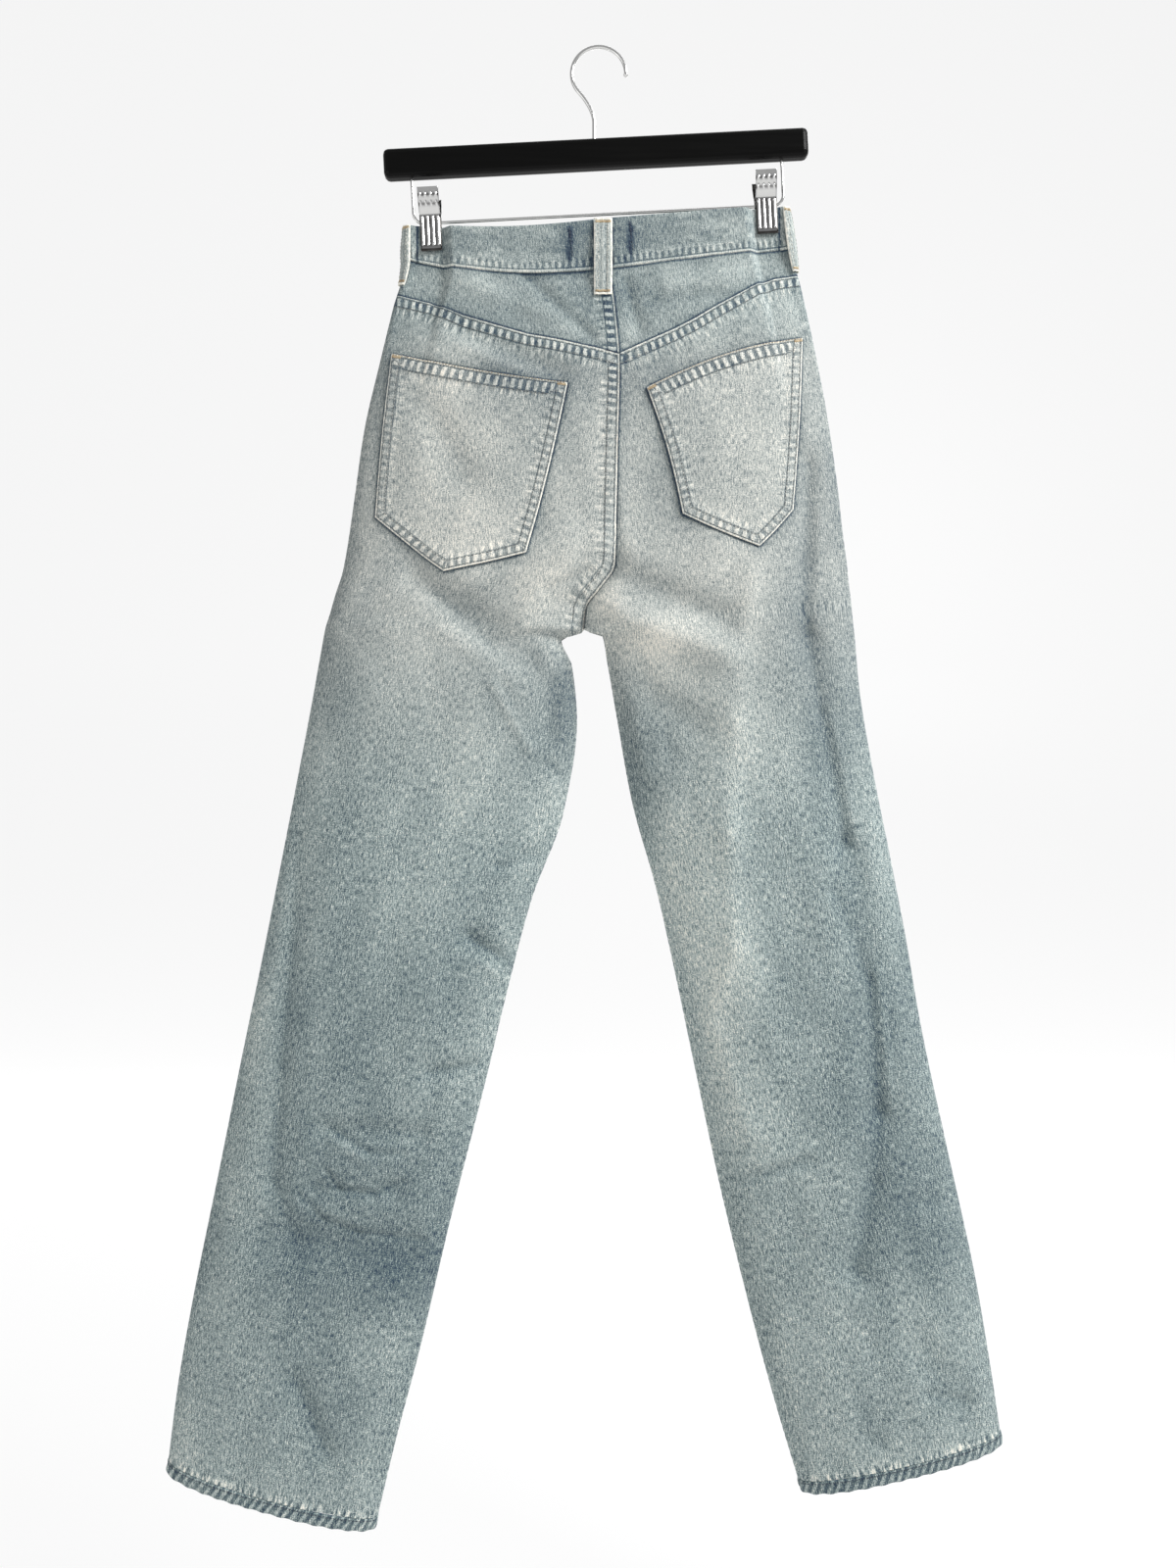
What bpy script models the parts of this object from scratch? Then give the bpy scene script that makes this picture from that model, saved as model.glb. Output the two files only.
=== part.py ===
"""A pair of high-rise straight jeans that hangs by its waistband from a two-clip hanger.

The frame has +Z up and its origin on the inner top of the hanger's hook. The back of the garment faces -Y
and the front faces +Y, and the wearer's left leg is at -X. All sizes below are in millimetres.

The cloth is one form, worked out from rows of measures: each row joins a point of the inner edge (the centre
seam above the crotch, the inseam below it) to a point of the outer edge (the side seam). A point of the cloth
has a share s from 0 at the inner edge to 1 at the side seam, and a drop h, which is how far the inner edge
has come down from the hook at that row.
"""

import math

import bmesh
import bpy
import numpy as np
from mathutils import Matrix

MM = 0.001

# Cloth and gaps
SEAM = 0.3
WALL = 1.2
BAND_WALL = 2.0
BAND_PROUD = 0.8
HEM_WALL = 2.2
HEM_PROUD = 0.5
HEM_HEIGHT = 11.0
POCKET_WALL = 1.1

# The clips press the waistband flat over this share of its half width
GRIP_SHARE = 0.88
GRIP_HALF = 0.065
GRIP_FADE = 0.118
GRIP_DEPTH = 1.75

LEFT, RIGHT = -1, 1
BACK, FRONT = -1, 1
NAMES = {LEFT: "left", RIGHT: "right"}

# The rise, waist to crotch. square is the power of the rounding towards the side, parted is how far the two
# legs have closed towards the centre seam, sag is how far the left half dips between centre and clip, dip is
# how far the front lies below the back at the centre, and grip is how strongly the clips flatten the row.
RISE_COLUMNS = (
    "x_mid", "z_mid", "x_left", "z_left", "x_right", "z_right",
    "depth", "square", "parted", "sag", "dip", "grip",
)
RISE = (
    (3.5, -145, -161, -148, 157, -132.5, 8, 7, 0, 5, 12, 1),
    (9, -187, -161, -177, 161, -168, 9, 6, 0, 8, 12, 1),
    (14, -228, -171.5, -216, 169.5, -203, 13, 4, 0, 4, 9, 0.5),
    (17, -269, -181.5, -257, 179.5, -248, 17, 3.2, 0, 1, 6, 0.2),
    (15.5, -333, -196, -320, 190.5, -306, 22, 2.8, 0, 0, 2, 0),
    (14, -389, -204, -376, 199, -364, 25, 2.6, 0.06, 0, 0, 0),
    (13, -433, -210, -417, 204, -408, 26, 2.6, 0.25, 0, 0, 0),
    (0, -453, -214, -438, 207, -430, 26, 2.6, 0.5, 0, 0, 0),
    (-11, -468, -219.5, -455, 208.5, -446, 26, 2.6, 0.78, 0, 0, 0),
    (-13, -486, -224, -471, 210.5, -462, 26, 2.5, 1, 0, 0, 0),
)
BAND_TOP = -RISE[0][1]
BAND_SEAM = -RISE[1][1]
CROTCH = -RISE[-1][1]

# The legs below the crotch, down to the hem
LEG_COLUMNS = ("x_in", "z_in", "x_out", "z_out", "depth")
LEG = {
    LEFT: (
        (-31, -493, -228, -484, 27),
        (-22, -516, -231, -500, 27),
        (-18, -561, -238.5, -542, 28),
        (-29, -636, -252, -613, 28),
        (-56, -710, -266, -685, 27),
        (-76, -785, -280, -756, 26),
        (-94, -860, -295, -828, 25),
        (-122.5, -972, -316.5, -935, 24),
        (-149, -1084, -338.5, -1043, 23),
        (-169, -1160, -351, -1115, 22),
        (-186.5, -1233.5, -360, -1186, 21),
    ),
    RIGHT: (
        (2, -488, 211.5, -474, 27),
        (7, -513, 213.5, -492, 27),
        (14.5, -556, 217, -532, 28),
        (27.5, -628, 228.5, -602, 28),
        (47.5, -700, 242.5, -672, 27),
        (63.5, -771, 256, -742, 26),
        (78.5, -843, 268, -812, 25),
        (101.5, -951, 290.5, -917, 24),
        (128, -1059, 313.5, -1022, 23),
        (147.5, -1131, 325.5, -1092, 22),
        (169, -1202.5, 336, -1162, 21),
    ),
}

# The yoke seam of each side, from the side seam to the V at the centre
YOKE_COLUMNS = ("x", "z")
YOKE = {
    LEFT: (
        (-175, -205), (-140, -214.5), (-113, -226.5), (-86, -235), (-59, -243),
        (-33, -248), (0, -255.5), (15, -260),
    ),
    RIGHT: (
        (16, -260), (40, -249), (60, -240), (77.5, -231), (95.5, -220),
        (114.5, -209.5), (131, -200), (146, -194), (170, -190),
    ),
}

# Back pockets: the corners and the tip of the bottom
POCKETS = {
    LEFT: {
        "top_out": (-171.5, -257), "top_in": (-25.5, -285), "low_in": (-59, -426),
        "tip": (-126, -440.5), "low_out": (-184, -394),
    },
    RIGHT: {
        "top_out": (168.5, -244), "top_in": (39, -289), "low_in": (68, -393.5),
        "tip": (130.5, -420), "low_out": (159, -388.5),
    },
}

# The largest folds: a line from one end to the other, half its width, and its height, below 0 for a trough
FOLD_COLUMNS = ("x0", "z0", "x1", "z1", "width", "height")
BACK_FOLDS = (
    (-111, -241, -33, -275, 10, -2.5),
    (-144, -301, -110, -363, 16, -3),
    (-148, -441, -57, -513, 14, -5.5),
    (-124, -446, -4, -417, 20, 4.5),
    (15, -441, 101, -479, 13, -4.5),
    (-2, -470, 101, -508, 14, 6),
    (15, -520, 77, -566, 16, -4),
    (-37, -534, -38, -570, 12, -5),
    (173, -350, 170, -494, 14, -3),
    (170, -494, 202, -661, 14, -3.5),
    (202, -661, 230, -883, 16, -3.5),
    (230, -883, 211, -1012, 16, -3),
    (125, -446, 106, -653, 32, 3.5),
    (106, -653, 125, -902, 30, 3),
    (-248, -653, -268, -941, 16, -3),
    (-105, -740, -71, -763, 11, -4),
    (-138, -850, -100, -845, 11, -3),
    (-223, -895, -147, -900, 10, -3),
    (-230, -945, -170, -946, 10, -3),
    (-262, -985, -138, -1001, 24, -5),
    (-248, -1103, -225, -1161, 14, -3),
    (262, -1075, 300, -1125, 16, -3),
)
FRONT_FOLDS = (
    (-190, -430, -70, -470, 15, -4),
    (-180, -400, -60, -430, 18, 3.5),
    (185, -425, 60, -465, 15, -4.5),
    (178, -390, 70, -420, 17, 3.5),
    (-150, -520, -165, -700, 30, 3.5),
    (140, -520, 150, -690, 30, 3.5),
    (-262, -900, -160, -925, 12, -3.5),
    (250, -880, 140, -905, 12, -3.5),
    (-285, -1000, -190, -1010, 20, -4),
    (275, -990, 170, -1005, 20, -4),
)

# Front pieces that the back view hides
SCOOP_WIDTH = 0.48
SCOOP_DROP = 80.0
MOUTH_GAP = 1.0
SCOOP_ROWS = (0, 0.25, 0.5, 0.7, 0.85, 0.94, 0.985)
FLY_WIDTH = 36.0
FLY_DROP = 158.0
BAND_OVERLAP = 0.19
BUTTON_RADIUS = 8.5
BUTTON_HEIGHT = 3.4

# Belt loops
LOOP_WIDTH = 14.0
LOOP_WALL = 1.2
LOOP_BULGE = 1.6
LOOP_BELOW_BAND = 22.0
FRONT_LOOP_SHARE = 0.6
CENTRE_LOOP = (-4.0, 11.0)

# Hanger
HANGER_MID = (-2.5, -88.5)
HANGER_TILT = math.radians(2.93)
BAR_LENGTH = 354.0
BAR_THICK = 14.0
BAR_HEIGHT = 24.0
BAR_ROUND = 4.5
HOOK_RADIUS = 21.0
HOOK_WIRE = 1.6
HOOK_STEM_X = -4.0
STEM_DEPTH = 9.0
ROD_WIRE = 1.25
ROD_DROP = 50.0
ROD_HALF = 154.5
ROD_BEND = 9.0
BORE_CLEARANCE = 0.3
CLIP_PLACES = {LEFT: -140.5, RIGHT: 139.4}
CLIP_WIDTH = 17.5
CLIP_WALL = 1.3
CLIP_INNER = GRIP_DEPTH + BAND_PROUD + 1.5 * SEAM
SPRING_RADIUS = 2.55
SPRING_LENGTH = 12.0
# The section of a clip jaw: height above the rod and distance of its inner face from the middle
JAW_SECTION = ((25, 11.5), (19, 10), (12, 7.2), (5, 3.6), (1, CLIP_INNER), (-20, CLIP_INNER), (-25, 4.4))

COLOURS = {
    "denim": (0.36, 0.42, 0.42, 1, 0.9, 0.0),
    "denim_light": (0.45, 0.50, 0.49, 1, 0.9, 0.0),
    "denim_dark": (0.28, 0.33, 0.34, 1, 0.9, 0.0),
    "lacquered_wood": (0.012, 0.011, 0.011, 1, 0.25, 0.0),
    "chrome": (0.75, 0.75, 0.76, 1, 0.18, 1.0),
    "dark_metal": (0.16, 0.15, 0.14, 1, 0.4, 1.0),
}


def through(knots, values, at):
    """Reads a smooth curve through the rows that never overshoots them: cubic, with harmonic-mean slopes."""
    knots, values = np.asarray(knots, float), np.asarray(values, float)
    at = np.clip(np.asarray(at, float), knots[0], knots[-1])
    step = np.diff(knots)
    slope = np.diff(values) / step
    rising = slope[1:] * slope[:-1] > 0
    total = np.where(rising, slope[1:] + slope[:-1], 1.0)
    middle = np.where(rising, 2 * slope[1:] * slope[:-1] / total, 0.0)
    tangent = np.concatenate([slope[:1], middle, slope[-1:]])
    i = np.clip(np.searchsorted(knots, at, side="right") - 1, 0, len(step) - 1)
    t = (at - knots[i]) / step[i]
    start = (1 + 2 * t) * (1 - t) ** 2 * values[i] + t * (1 - t) ** 2 * step[i] * tangent[i]
    end = t * t * (3 - 2 * t) * values[i + 1] - t * t * (1 - t) * step[i] * tangent[i + 1]
    return start + end


def stations(side):
    """The rows of one side as columns: rise rows first, then leg rows."""
    rise = {name: [row[k] for row in RISE] for k, name in enumerate(RISE_COLUMNS)}
    leg = {name: [row[k] for row in LEG[side]] for k, name in enumerate(LEG_COLUMNS)}
    count = len(LEG[side])
    outer = NAMES[side]
    sag = rise["sag"] if side == LEFT else [0.0] * len(RISE)
    return {
        "h": [-z for z in rise["z_mid"] + leg["z_in"]],
        "x_in": rise["x_mid"] + leg["x_in"],
        "z_in": rise["z_mid"] + leg["z_in"],
        "x_out": rise["x_" + outer] + leg["x_out"],
        "z_out": rise["z_" + outer] + leg["z_out"],
        "depth": rise["depth"] + leg["depth"],
        "square": rise["square"] + [rise["square"][-1]] * count,
        "parted": rise["parted"] + [1.0] * count,
        "sag": sag + [0.0] * count,
        "dip": rise["dip"] + [0.0] * count,
        "grip": rise["grip"] + [0.0] * count,
    }


STATIONS = {side: stations(side) for side in (LEFT, RIGHT)}
HEM_END = {side: STATIONS[side]["h"][-1] for side in (LEFT, RIGHT)}


def at_row(side, column, h):
    return through(STATIONS[side]["h"], STATIONS[side][column], h)


def step_up(t):
    """0 below 0, 1 above 1, and a smooth rise between."""
    t = np.clip(t, 0, 1)
    return t * t * (3 - 2 * t)


def half_depth(side, s, h):
    """How far the cloth stands from the middle plane: rounded to the side seam, and closed at the inseam."""
    parted = at_row(side, "parted", h)
    power = at_row(side, "square", h)
    crown = 0.5 * parted
    out = np.clip((s - crown) / (1 - crown), 0, 1)
    inward = np.clip((crown - s) / np.maximum(crown, 1e-6), 0, 1)
    to_side = np.sqrt(np.maximum(1 - out**power, 0))
    to_seam = 1 - parted * (1 - np.maximum(1 - inward**power, 0) ** (1 - 0.5 * parted))
    depth = at_row(side, "depth", h) * np.where(s >= crown, to_side, to_seam)
    away = np.abs(s - GRIP_SHARE)
    pressed = at_row(side, "grip", h) * (1 - step_up((away - GRIP_HALF) / (GRIP_FADE - GRIP_HALF)))
    return depth * (1 - pressed) + GRIP_DEPTH * pressed


def folds(face, x, z):
    """The height of the folds at a place: each is a rounded ridge or trough along its line."""
    height = np.zeros(np.shape(x))
    for x0, z0, x1, z1, width, rise in BACK_FOLDS if face == BACK else FRONT_FOLDS:
        dx, dz = x1 - x0, z1 - z0
        along = np.clip(((x - x0) * dx + (z - z0) * dz) / (dx * dx + dz * dz), 0, 1)
        away = np.hypot(x - x0 - along * dx, z - z0 - along * dz)
        height = height + rise * np.exp(-((away / width) ** 2))
    return height


def cloth(side, face, s, h):
    """The outer surface of the cloth, as x, y, z in millimetres."""
    s, h = np.broadcast_arrays(np.asarray(s, float), np.asarray(h, float))
    x_in, x_out = at_row(side, "x_in", h), at_row(side, "x_out", h)
    z_in, z_out = at_row(side, "z_in", h), at_row(side, "z_out", h)
    parted = at_row(side, "parted", h)
    x = x_in + (x_out - x_in) * s + side * SEAM / 2 * (1 - s)
    z = z_in + (z_out - z_in) * s - at_row(side, "sag", h) * np.sin(math.pi * s)
    if face == FRONT:
        z = z - at_row(side, "dip", h) * np.cos(math.pi / 2 * s) ** 2
    held = step_up((1 - s) / 0.16) * (1 - parted * (1 - step_up(s / 0.16)))
    y = SEAM / 2 + half_depth(side, s, h) + held * folds(face, x, z)
    return np.stack([x, face * y, z], axis=-1)


def place(side, face, x, z):
    """The share s and drop h of the point of one side that is seen at x, z."""
    x, z = np.broadcast_arrays(np.asarray(x, float), np.asarray(z, float))
    h = -z
    s = np.full(x.shape, 0.5)
    for _ in range(40):
        x_in, x_out = at_row(side, "x_in", h), at_row(side, "x_out", h)
        s = (x - x_in) / (x_out - x_in)
        h = h + 0.8 * (cloth(side, face, s, h)[..., 2] - z)
    return s, h


def seen(face, x, z):
    """The point of the outer surface at x, z on either side of the centre seam."""
    s_left, h_left = place(LEFT, face, x, z)
    s_right, h_right = place(RIGHT, face, x, z)
    on_left = (s_left >= 0)[..., None]
    return np.where(on_left, cloth(LEFT, face, s_left, h_left), cloth(RIGHT, face, s_right, h_right))


def grid_normals(points, face):
    """Unit normals of a grid of points, turned so that on the whole they face out."""
    rows, columns = np.gradient(points, axis=0), np.gradient(points, axis=1)
    normal = np.cross(rows, columns)
    normal /= np.maximum(np.linalg.norm(normal, axis=-1, keepdims=True), 1e-9)
    return normal if np.sum(normal[..., 1]) * face > 0 else -normal


def edge_normals(points, inner, amount, face):
    """Normals along a panel's long edge: square to the edge in the middle plane, or out of it in the rise."""
    run = np.gradient(points, axis=0)
    across = np.stack([-run[:, 2], np.zeros(len(run)), run[:, 0]], axis=-1)
    across /= np.linalg.norm(across, axis=-1, keepdims=True)
    across *= np.where(np.sum(across * (points - inner), axis=-1) >= 0, 1, -1)[:, None]
    straight = np.zeros_like(across)
    straight[:, 1] = face
    mixed = amount[:, None] * across + (1 - amount[:, None]) * straight
    return mixed / np.linalg.norm(mixed, axis=-1, keepdims=True)


def material(name):
    red, green, blue, alpha, rough, metal = COLOURS[name]
    made = bpy.data.materials.new(name)
    made.use_nodes = True
    shader = made.node_tree.nodes["Principled BSDF"]
    shader.inputs["Base Color"].default_value = (red, green, blue, alpha)
    shader.inputs["Roughness"].default_value = rough
    shader.inputs["Metallic"].default_value = metal
    return made


def add_mesh(name, points, faces, finish):
    """Makes a closed body with its faces turned out."""
    mesh = bpy.data.meshes.new(name)
    mesh.from_pydata([tuple(p) for p in np.asarray(points, float) * MM], [], faces)
    body = bmesh.new()
    body.from_mesh(mesh)
    bmesh.ops.recalc_face_normals(body, faces=body.faces)
    if body.calc_volume(signed=True) < 0:
        bmesh.ops.reverse_faces(body, faces=body.faces)
    body.to_mesh(mesh)
    body.free()
    mesh.shade_smooth()
    mesh.materials.append(material(finish))
    made = bpy.data.objects.new(name, mesh)
    bpy.context.scene.collection.objects.link(made)
    return made


def triangles(index):
    """Two triangles for each cell of a grid of point numbers, always on the same diagonal."""
    a, b, c, d = index[:-1, :-1], index[1:, :-1], index[1:, 1:], index[:-1, 1:]
    halves = [np.stack([a, b, c], axis=-1), np.stack([a, c, d], axis=-1)]
    return np.concatenate([half.reshape(-1, 3) for half in halves])


def shell(name, outer, inner, finish, wrap=False):
    """A wall between two grids of points: both faces and the strips along its edges."""
    rows, columns = outer.shape[:2]
    index = np.arange(rows * columns).reshape(rows, columns)
    lower = index + rows * columns
    if wrap:
        index = np.concatenate([index, index[:, :1]], axis=1)
        lower = np.concatenate([lower, lower[:, :1]], axis=1)

    def strip(a, b):
        return np.stack([a, b])

    sheets = [index, lower, strip(index[0], lower[0]), strip(index[-1], lower[-1])]
    if not wrap:
        sheets += [strip(index[:, 0], lower[:, 0]), strip(index[:, -1], lower[:, -1])]
    faces = np.concatenate([triangles(sheet) for sheet in sheets])
    points = np.concatenate([outer.reshape(-1, 3), inner.reshape(-1, 3)])
    return add_mesh(name, points, faces.tolist(), finish)


def panel(name, side, face, shares, drops, finish, proud=0.0, wall=WALL):
    """A piece of cloth over a grid of shares and drops, with its long edges square to the seams."""
    form = cloth(side, face, shares, drops)
    normal = grid_normals(form, face)
    parted = at_row(side, "parted", drops)
    if np.allclose(shares[:, 0], 0):
        normal[:, 0] = edge_normals(form[:, 0], form[:, 1], parted[:, 0], face)
    if np.allclose(shares[:, -1], 1):
        normal[:, -1] = edge_normals(form[:, -1], form[:, -2], np.ones(len(form)), face)
    outer = form + proud * normal
    inner = outer - wall * normal
    for wall_points in (outer, inner):
        wall_points[..., 1] = face * np.maximum(face * wall_points[..., 1], SEAM / 2)
    shell(name, outer, inner, finish)
    return outer


def laid_on(name, grid, outline, face, wall, finish):
    """A piece on a panel: the panel's own faces inside a convex outline, moved out by the seam gap."""
    body = bmesh.new()
    made = [body.verts.new(p) for p in grid.reshape(-1, 3)]
    for corners in triangles(np.arange(len(made)).reshape(grid.shape[:2])).tolist():
        body.faces.new([made[k] for k in corners])
    middle = np.mean(outline, axis=0)
    for start, end in zip(outline, np.roll(outline, -1, axis=0)):
        out = np.array([end[1] - start[1], start[0] - end[0]])
        if np.dot(out, middle - start) > 0:
            out = -out
        parts = body.verts[:] + body.edges[:] + body.faces[:]
        bmesh.ops.bisect_plane(
            body, geom=parts, dist=0.02, plane_co=(start[0], 0, start[1]),
            plane_no=(out[0], 0, out[1]), clear_outer=True,
        )
    bmesh.ops.triangulate(body, faces=body.faces)
    body.normal_update()
    body.verts.index_update()
    points = np.array([v.co for v in body.verts])
    normals = np.array([v.normal for v in body.verts])
    if np.sum(normals[:, 1]) * face < 0:
        normals = -normals
    count = len(points)
    inner = points + SEAM * normals
    outer = inner + wall * normals
    faces = [[v.index for v in f.verts] for f in body.faces]
    rim = [[v.index for v in e.verts] for e in body.edges if e.is_boundary]
    body.free()
    faces += [[k + count for k in f] for f in faces]
    for a, b in rim:
        faces += [[a, b, b + count], [a, b + count, a + count]]
    add_mesh(name, np.concatenate([outer, inner]), faces, finish)


def yoke_drop(side, s):
    """The drop at which each share s meets the yoke seam."""
    table = sorted(YOKE[side])
    h = np.full(np.shape(s), 230.0)
    for _ in range(60):
        point = cloth(side, BACK, s, h)
        line = np.interp(point[..., 0], [row[0] for row in table], [row[1] for row in table])
        h = h + 0.8 * (point[..., 2] - line)
    return h


def shares_across(count):
    """Shares from 0 to 1, closer together at both seams."""
    return (1 - np.cos(np.linspace(0, math.pi, count))) / 2


def scoop_share(h):
    """Where the front pocket's mouth cuts the front panel: a quarter oval round the top of the side seam."""
    t = (h - BAND_SEAM) / SCOOP_DROP
    curve = 1 - SCOOP_WIDTH * np.sqrt(np.clip(1 - t * t, 0, 1))
    last = SCOOP_ROWS[-1]
    at_last = 1 - SCOOP_WIDTH * math.sqrt(1 - last * last)
    straight = at_last + (1 - at_last) * (t - last) / (1 - last)
    return np.clip(np.where(t < last, curve, straight), 0, 1)


def make_back(side):
    """The long back panel with its five-sided pocket, and the yoke piece over it."""
    s = shares_across(18)
    seam = yoke_drop(side, s)
    hem = HEM_END[side] - HEM_HEIGHT
    legs = STATIONS[side]["h"]
    crotch_rows = [CROTCH, legs[len(RISE)], legs[len(RISE) + 1]]
    top = seam[0]
    rows = np.concatenate([np.linspace(top, CROTCH, 12)[:-1], crotch_rows])
    rows = np.concatenate([rows, np.linspace(crotch_rows[-1] + 24, hem, 19)])
    fade = np.clip(1 - (rows - top) / 170, 0, 1) ** 1.3
    drops = rows[:, None] + (seam[None, :] + SEAM / 2 - top) * fade[:, None]
    grid = panel(f"back_panel_{NAMES[side]}", side, BACK, np.tile(s, (len(rows), 1)), drops, "denim")
    outline = np.array([POCKETS[side][name] for name in ("top_out", "top_in", "low_in", "tip", "low_out")])
    laid_on(f"back_pocket_{NAMES[side]}", grid, outline, BACK, POCKET_WALL, "denim_light")
    t = np.linspace(0, 1, 5)[:, None]
    drops = (BAND_SEAM + SEAM / 2) * (1 - t) + (seam[None, :] - SEAM / 2) * t
    panel(f"back_yoke_{NAMES[side]}", side, BACK, np.tile(s, (5, 1)), drops, "denim")


def make_front(side):
    """One front panel with its pocket mouth, and the facing that fills the mouth."""
    hem = HEM_END[side] - HEM_HEIGHT
    legs = STATIONS[side]["h"]
    mouth = BAND_SEAM + SEAM / 2 + SCOOP_DROP * np.array(SCOOP_ROWS)
    end = BAND_SEAM + SEAM / 2 + SCOOP_DROP
    rows = np.concatenate([mouth, [end], np.linspace(end, CROTCH, 7)[1:-1]])
    rows = np.concatenate([rows, [CROTCH, legs[len(RISE)], legs[len(RISE) + 1]]])
    rows = np.concatenate([rows, np.linspace(legs[len(RISE) + 1] + 30, hem, 13)])
    widest = scoop_share(rows - SEAM / 2)
    shares = shares_across(13)[None, :] * widest[:, None]
    drops = np.tile(rows[:, None], (1, 13))
    form = cloth(side, FRONT, shares, drops)
    normal = grid_normals(form, FRONT)
    normal[:, 0] = edge_normals(form[:, 0], form[:, 1], at_row(side, "parted", rows), FRONT)
    whole = widest > 0.999
    normal[whole, -1] = edge_normals(form[:, -1], form[:, -2], np.ones(len(rows)), FRONT)[whole]
    inner = form - WALL * normal
    inner[..., 1] = np.maximum(inner[..., 1], SEAM / 2)
    shell(f"front_panel_{NAMES[side]}", form, inner, "denim")
    if side == LEFT:
        make_fly(form)

    half_width = abs(at_row(side, "x_out", BAND_SEAM) - at_row(side, "x_in", BAND_SEAM))
    oval = np.sqrt(1 - np.array(SCOOP_ROWS) ** 2)
    rows = BAND_SEAM + SEAM / 2 + (SCOOP_DROP - MOUTH_GAP) * np.array(SCOOP_ROWS)
    start = 1 - (SCOOP_WIDTH - MOUTH_GAP / half_width) * oval
    across = np.sin(np.linspace(0, math.pi / 2, 8))
    shares = start[:, None] + (1 - start[:, None]) * across[None, :]
    drops = np.tile(rows[:, None], (1, len(across)))
    panel(f"pocket_facing_{NAMES[side]}", side, FRONT, shares, drops, "denim_light")


def make_band():
    """The waistband: round from centre front to centre front, where the left end lies over the right one."""
    quarter = np.sin(np.linspace(0, math.pi / 2, 16))
    quarter = np.sort(np.concatenate([quarter, [GRIP_SHARE - GRIP_HALF - 0.008, GRIP_SHARE + GRIP_HALF]]))
    walk = [(RIGHT, FRONT, s) for s in quarter]
    walk += [(RIGHT, BACK, s) for s in quarter[::-1]]
    walk += [(LEFT, BACK, s) for s in quarter]
    walk += [(LEFT, FRONT, s) for s in quarter[::-1]]
    walk += [(RIGHT, FRONT, s) for s in np.linspace(0.03, BAND_OVERLAP, 4)]
    rows = np.linspace(BAND_TOP, BAND_SEAM - SEAM / 2, 4)
    form = np.stack([cloth(side, face, np.full(len(rows), s), rows) for side, face, s in walk], axis=1)
    run = np.gradient(form, axis=1)
    down = np.gradient(form, axis=0)
    normal = np.cross(run, down)
    normal /= np.linalg.norm(normal, axis=-1, keepdims=True)
    back = len(quarter) * 2 - 4
    if normal[0, back, 1] > 0:
        normal = -normal
    lift = np.full(len(walk), BAND_PROUD)
    over = BAND_WALL + SEAM
    for k, (side, face, s) in enumerate(walk):
        if k >= 4 * len(quarter):
            lift[k] += over
        elif side == LEFT and face == FRONT:
            lift[k] += over * float(step_up(1 - (s - 0.02) / 0.14))
    outer = form + lift[None, :, None] * normal
    inner = outer - BAND_WALL * normal
    shell("waistband", outer, inner, "denim_dark")


def make_hem(side):
    """The turned-up hem: a thicker closed band round the leg's end."""
    s = shares_across(17)
    rows = np.array([HEM_END[side] - HEM_HEIGHT + SEAM, HEM_END[side] - HEM_HEIGHT / 2, HEM_END[side]])
    back = np.stack([cloth(side, BACK, np.full(3, t), rows) for t in s], axis=1)
    front = np.stack([cloth(side, FRONT, np.full(3, t), rows) for t in s[::-1]], axis=1)
    form = np.concatenate([back, front], axis=1)
    ring = np.concatenate([form[:, -1:], form, form[:, :1]], axis=1)
    normal = np.cross(np.gradient(ring, axis=1), np.gradient(ring, axis=0))[:, 1:-1]
    normal /= np.linalg.norm(normal, axis=-1, keepdims=True)
    if normal[0, 8, 1] > 0:
        normal = -normal
    outer = form + HEM_PROUD * normal
    shell(f"hem_{NAMES[side]}", outer, outer - HEM_WALL * normal, "denim_dark", wrap=True)


def loop_lift(t):
    """How far a loop's inner face stands off the cloth, from its top to its lower end."""
    on_band = (BAND_SEAM - BAND_TOP) / (BAND_SEAM - BAND_TOP + LOOP_BELOW_BAND)
    bulge = LOOP_BULGE * np.sin(math.pi * np.clip(t, 0, 1)) ** 2
    down = step_up((t - on_band - 0.08) / (0.92 - on_band))
    return 2 * SEAM + BAND_PROUD * (1 - down) + bulge


def finish_loop(name, form, normal, lift):
    inner = form + lift[:, None, None] * normal
    shell(name, inner + LOOP_WALL * normal, inner, "denim")


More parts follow.
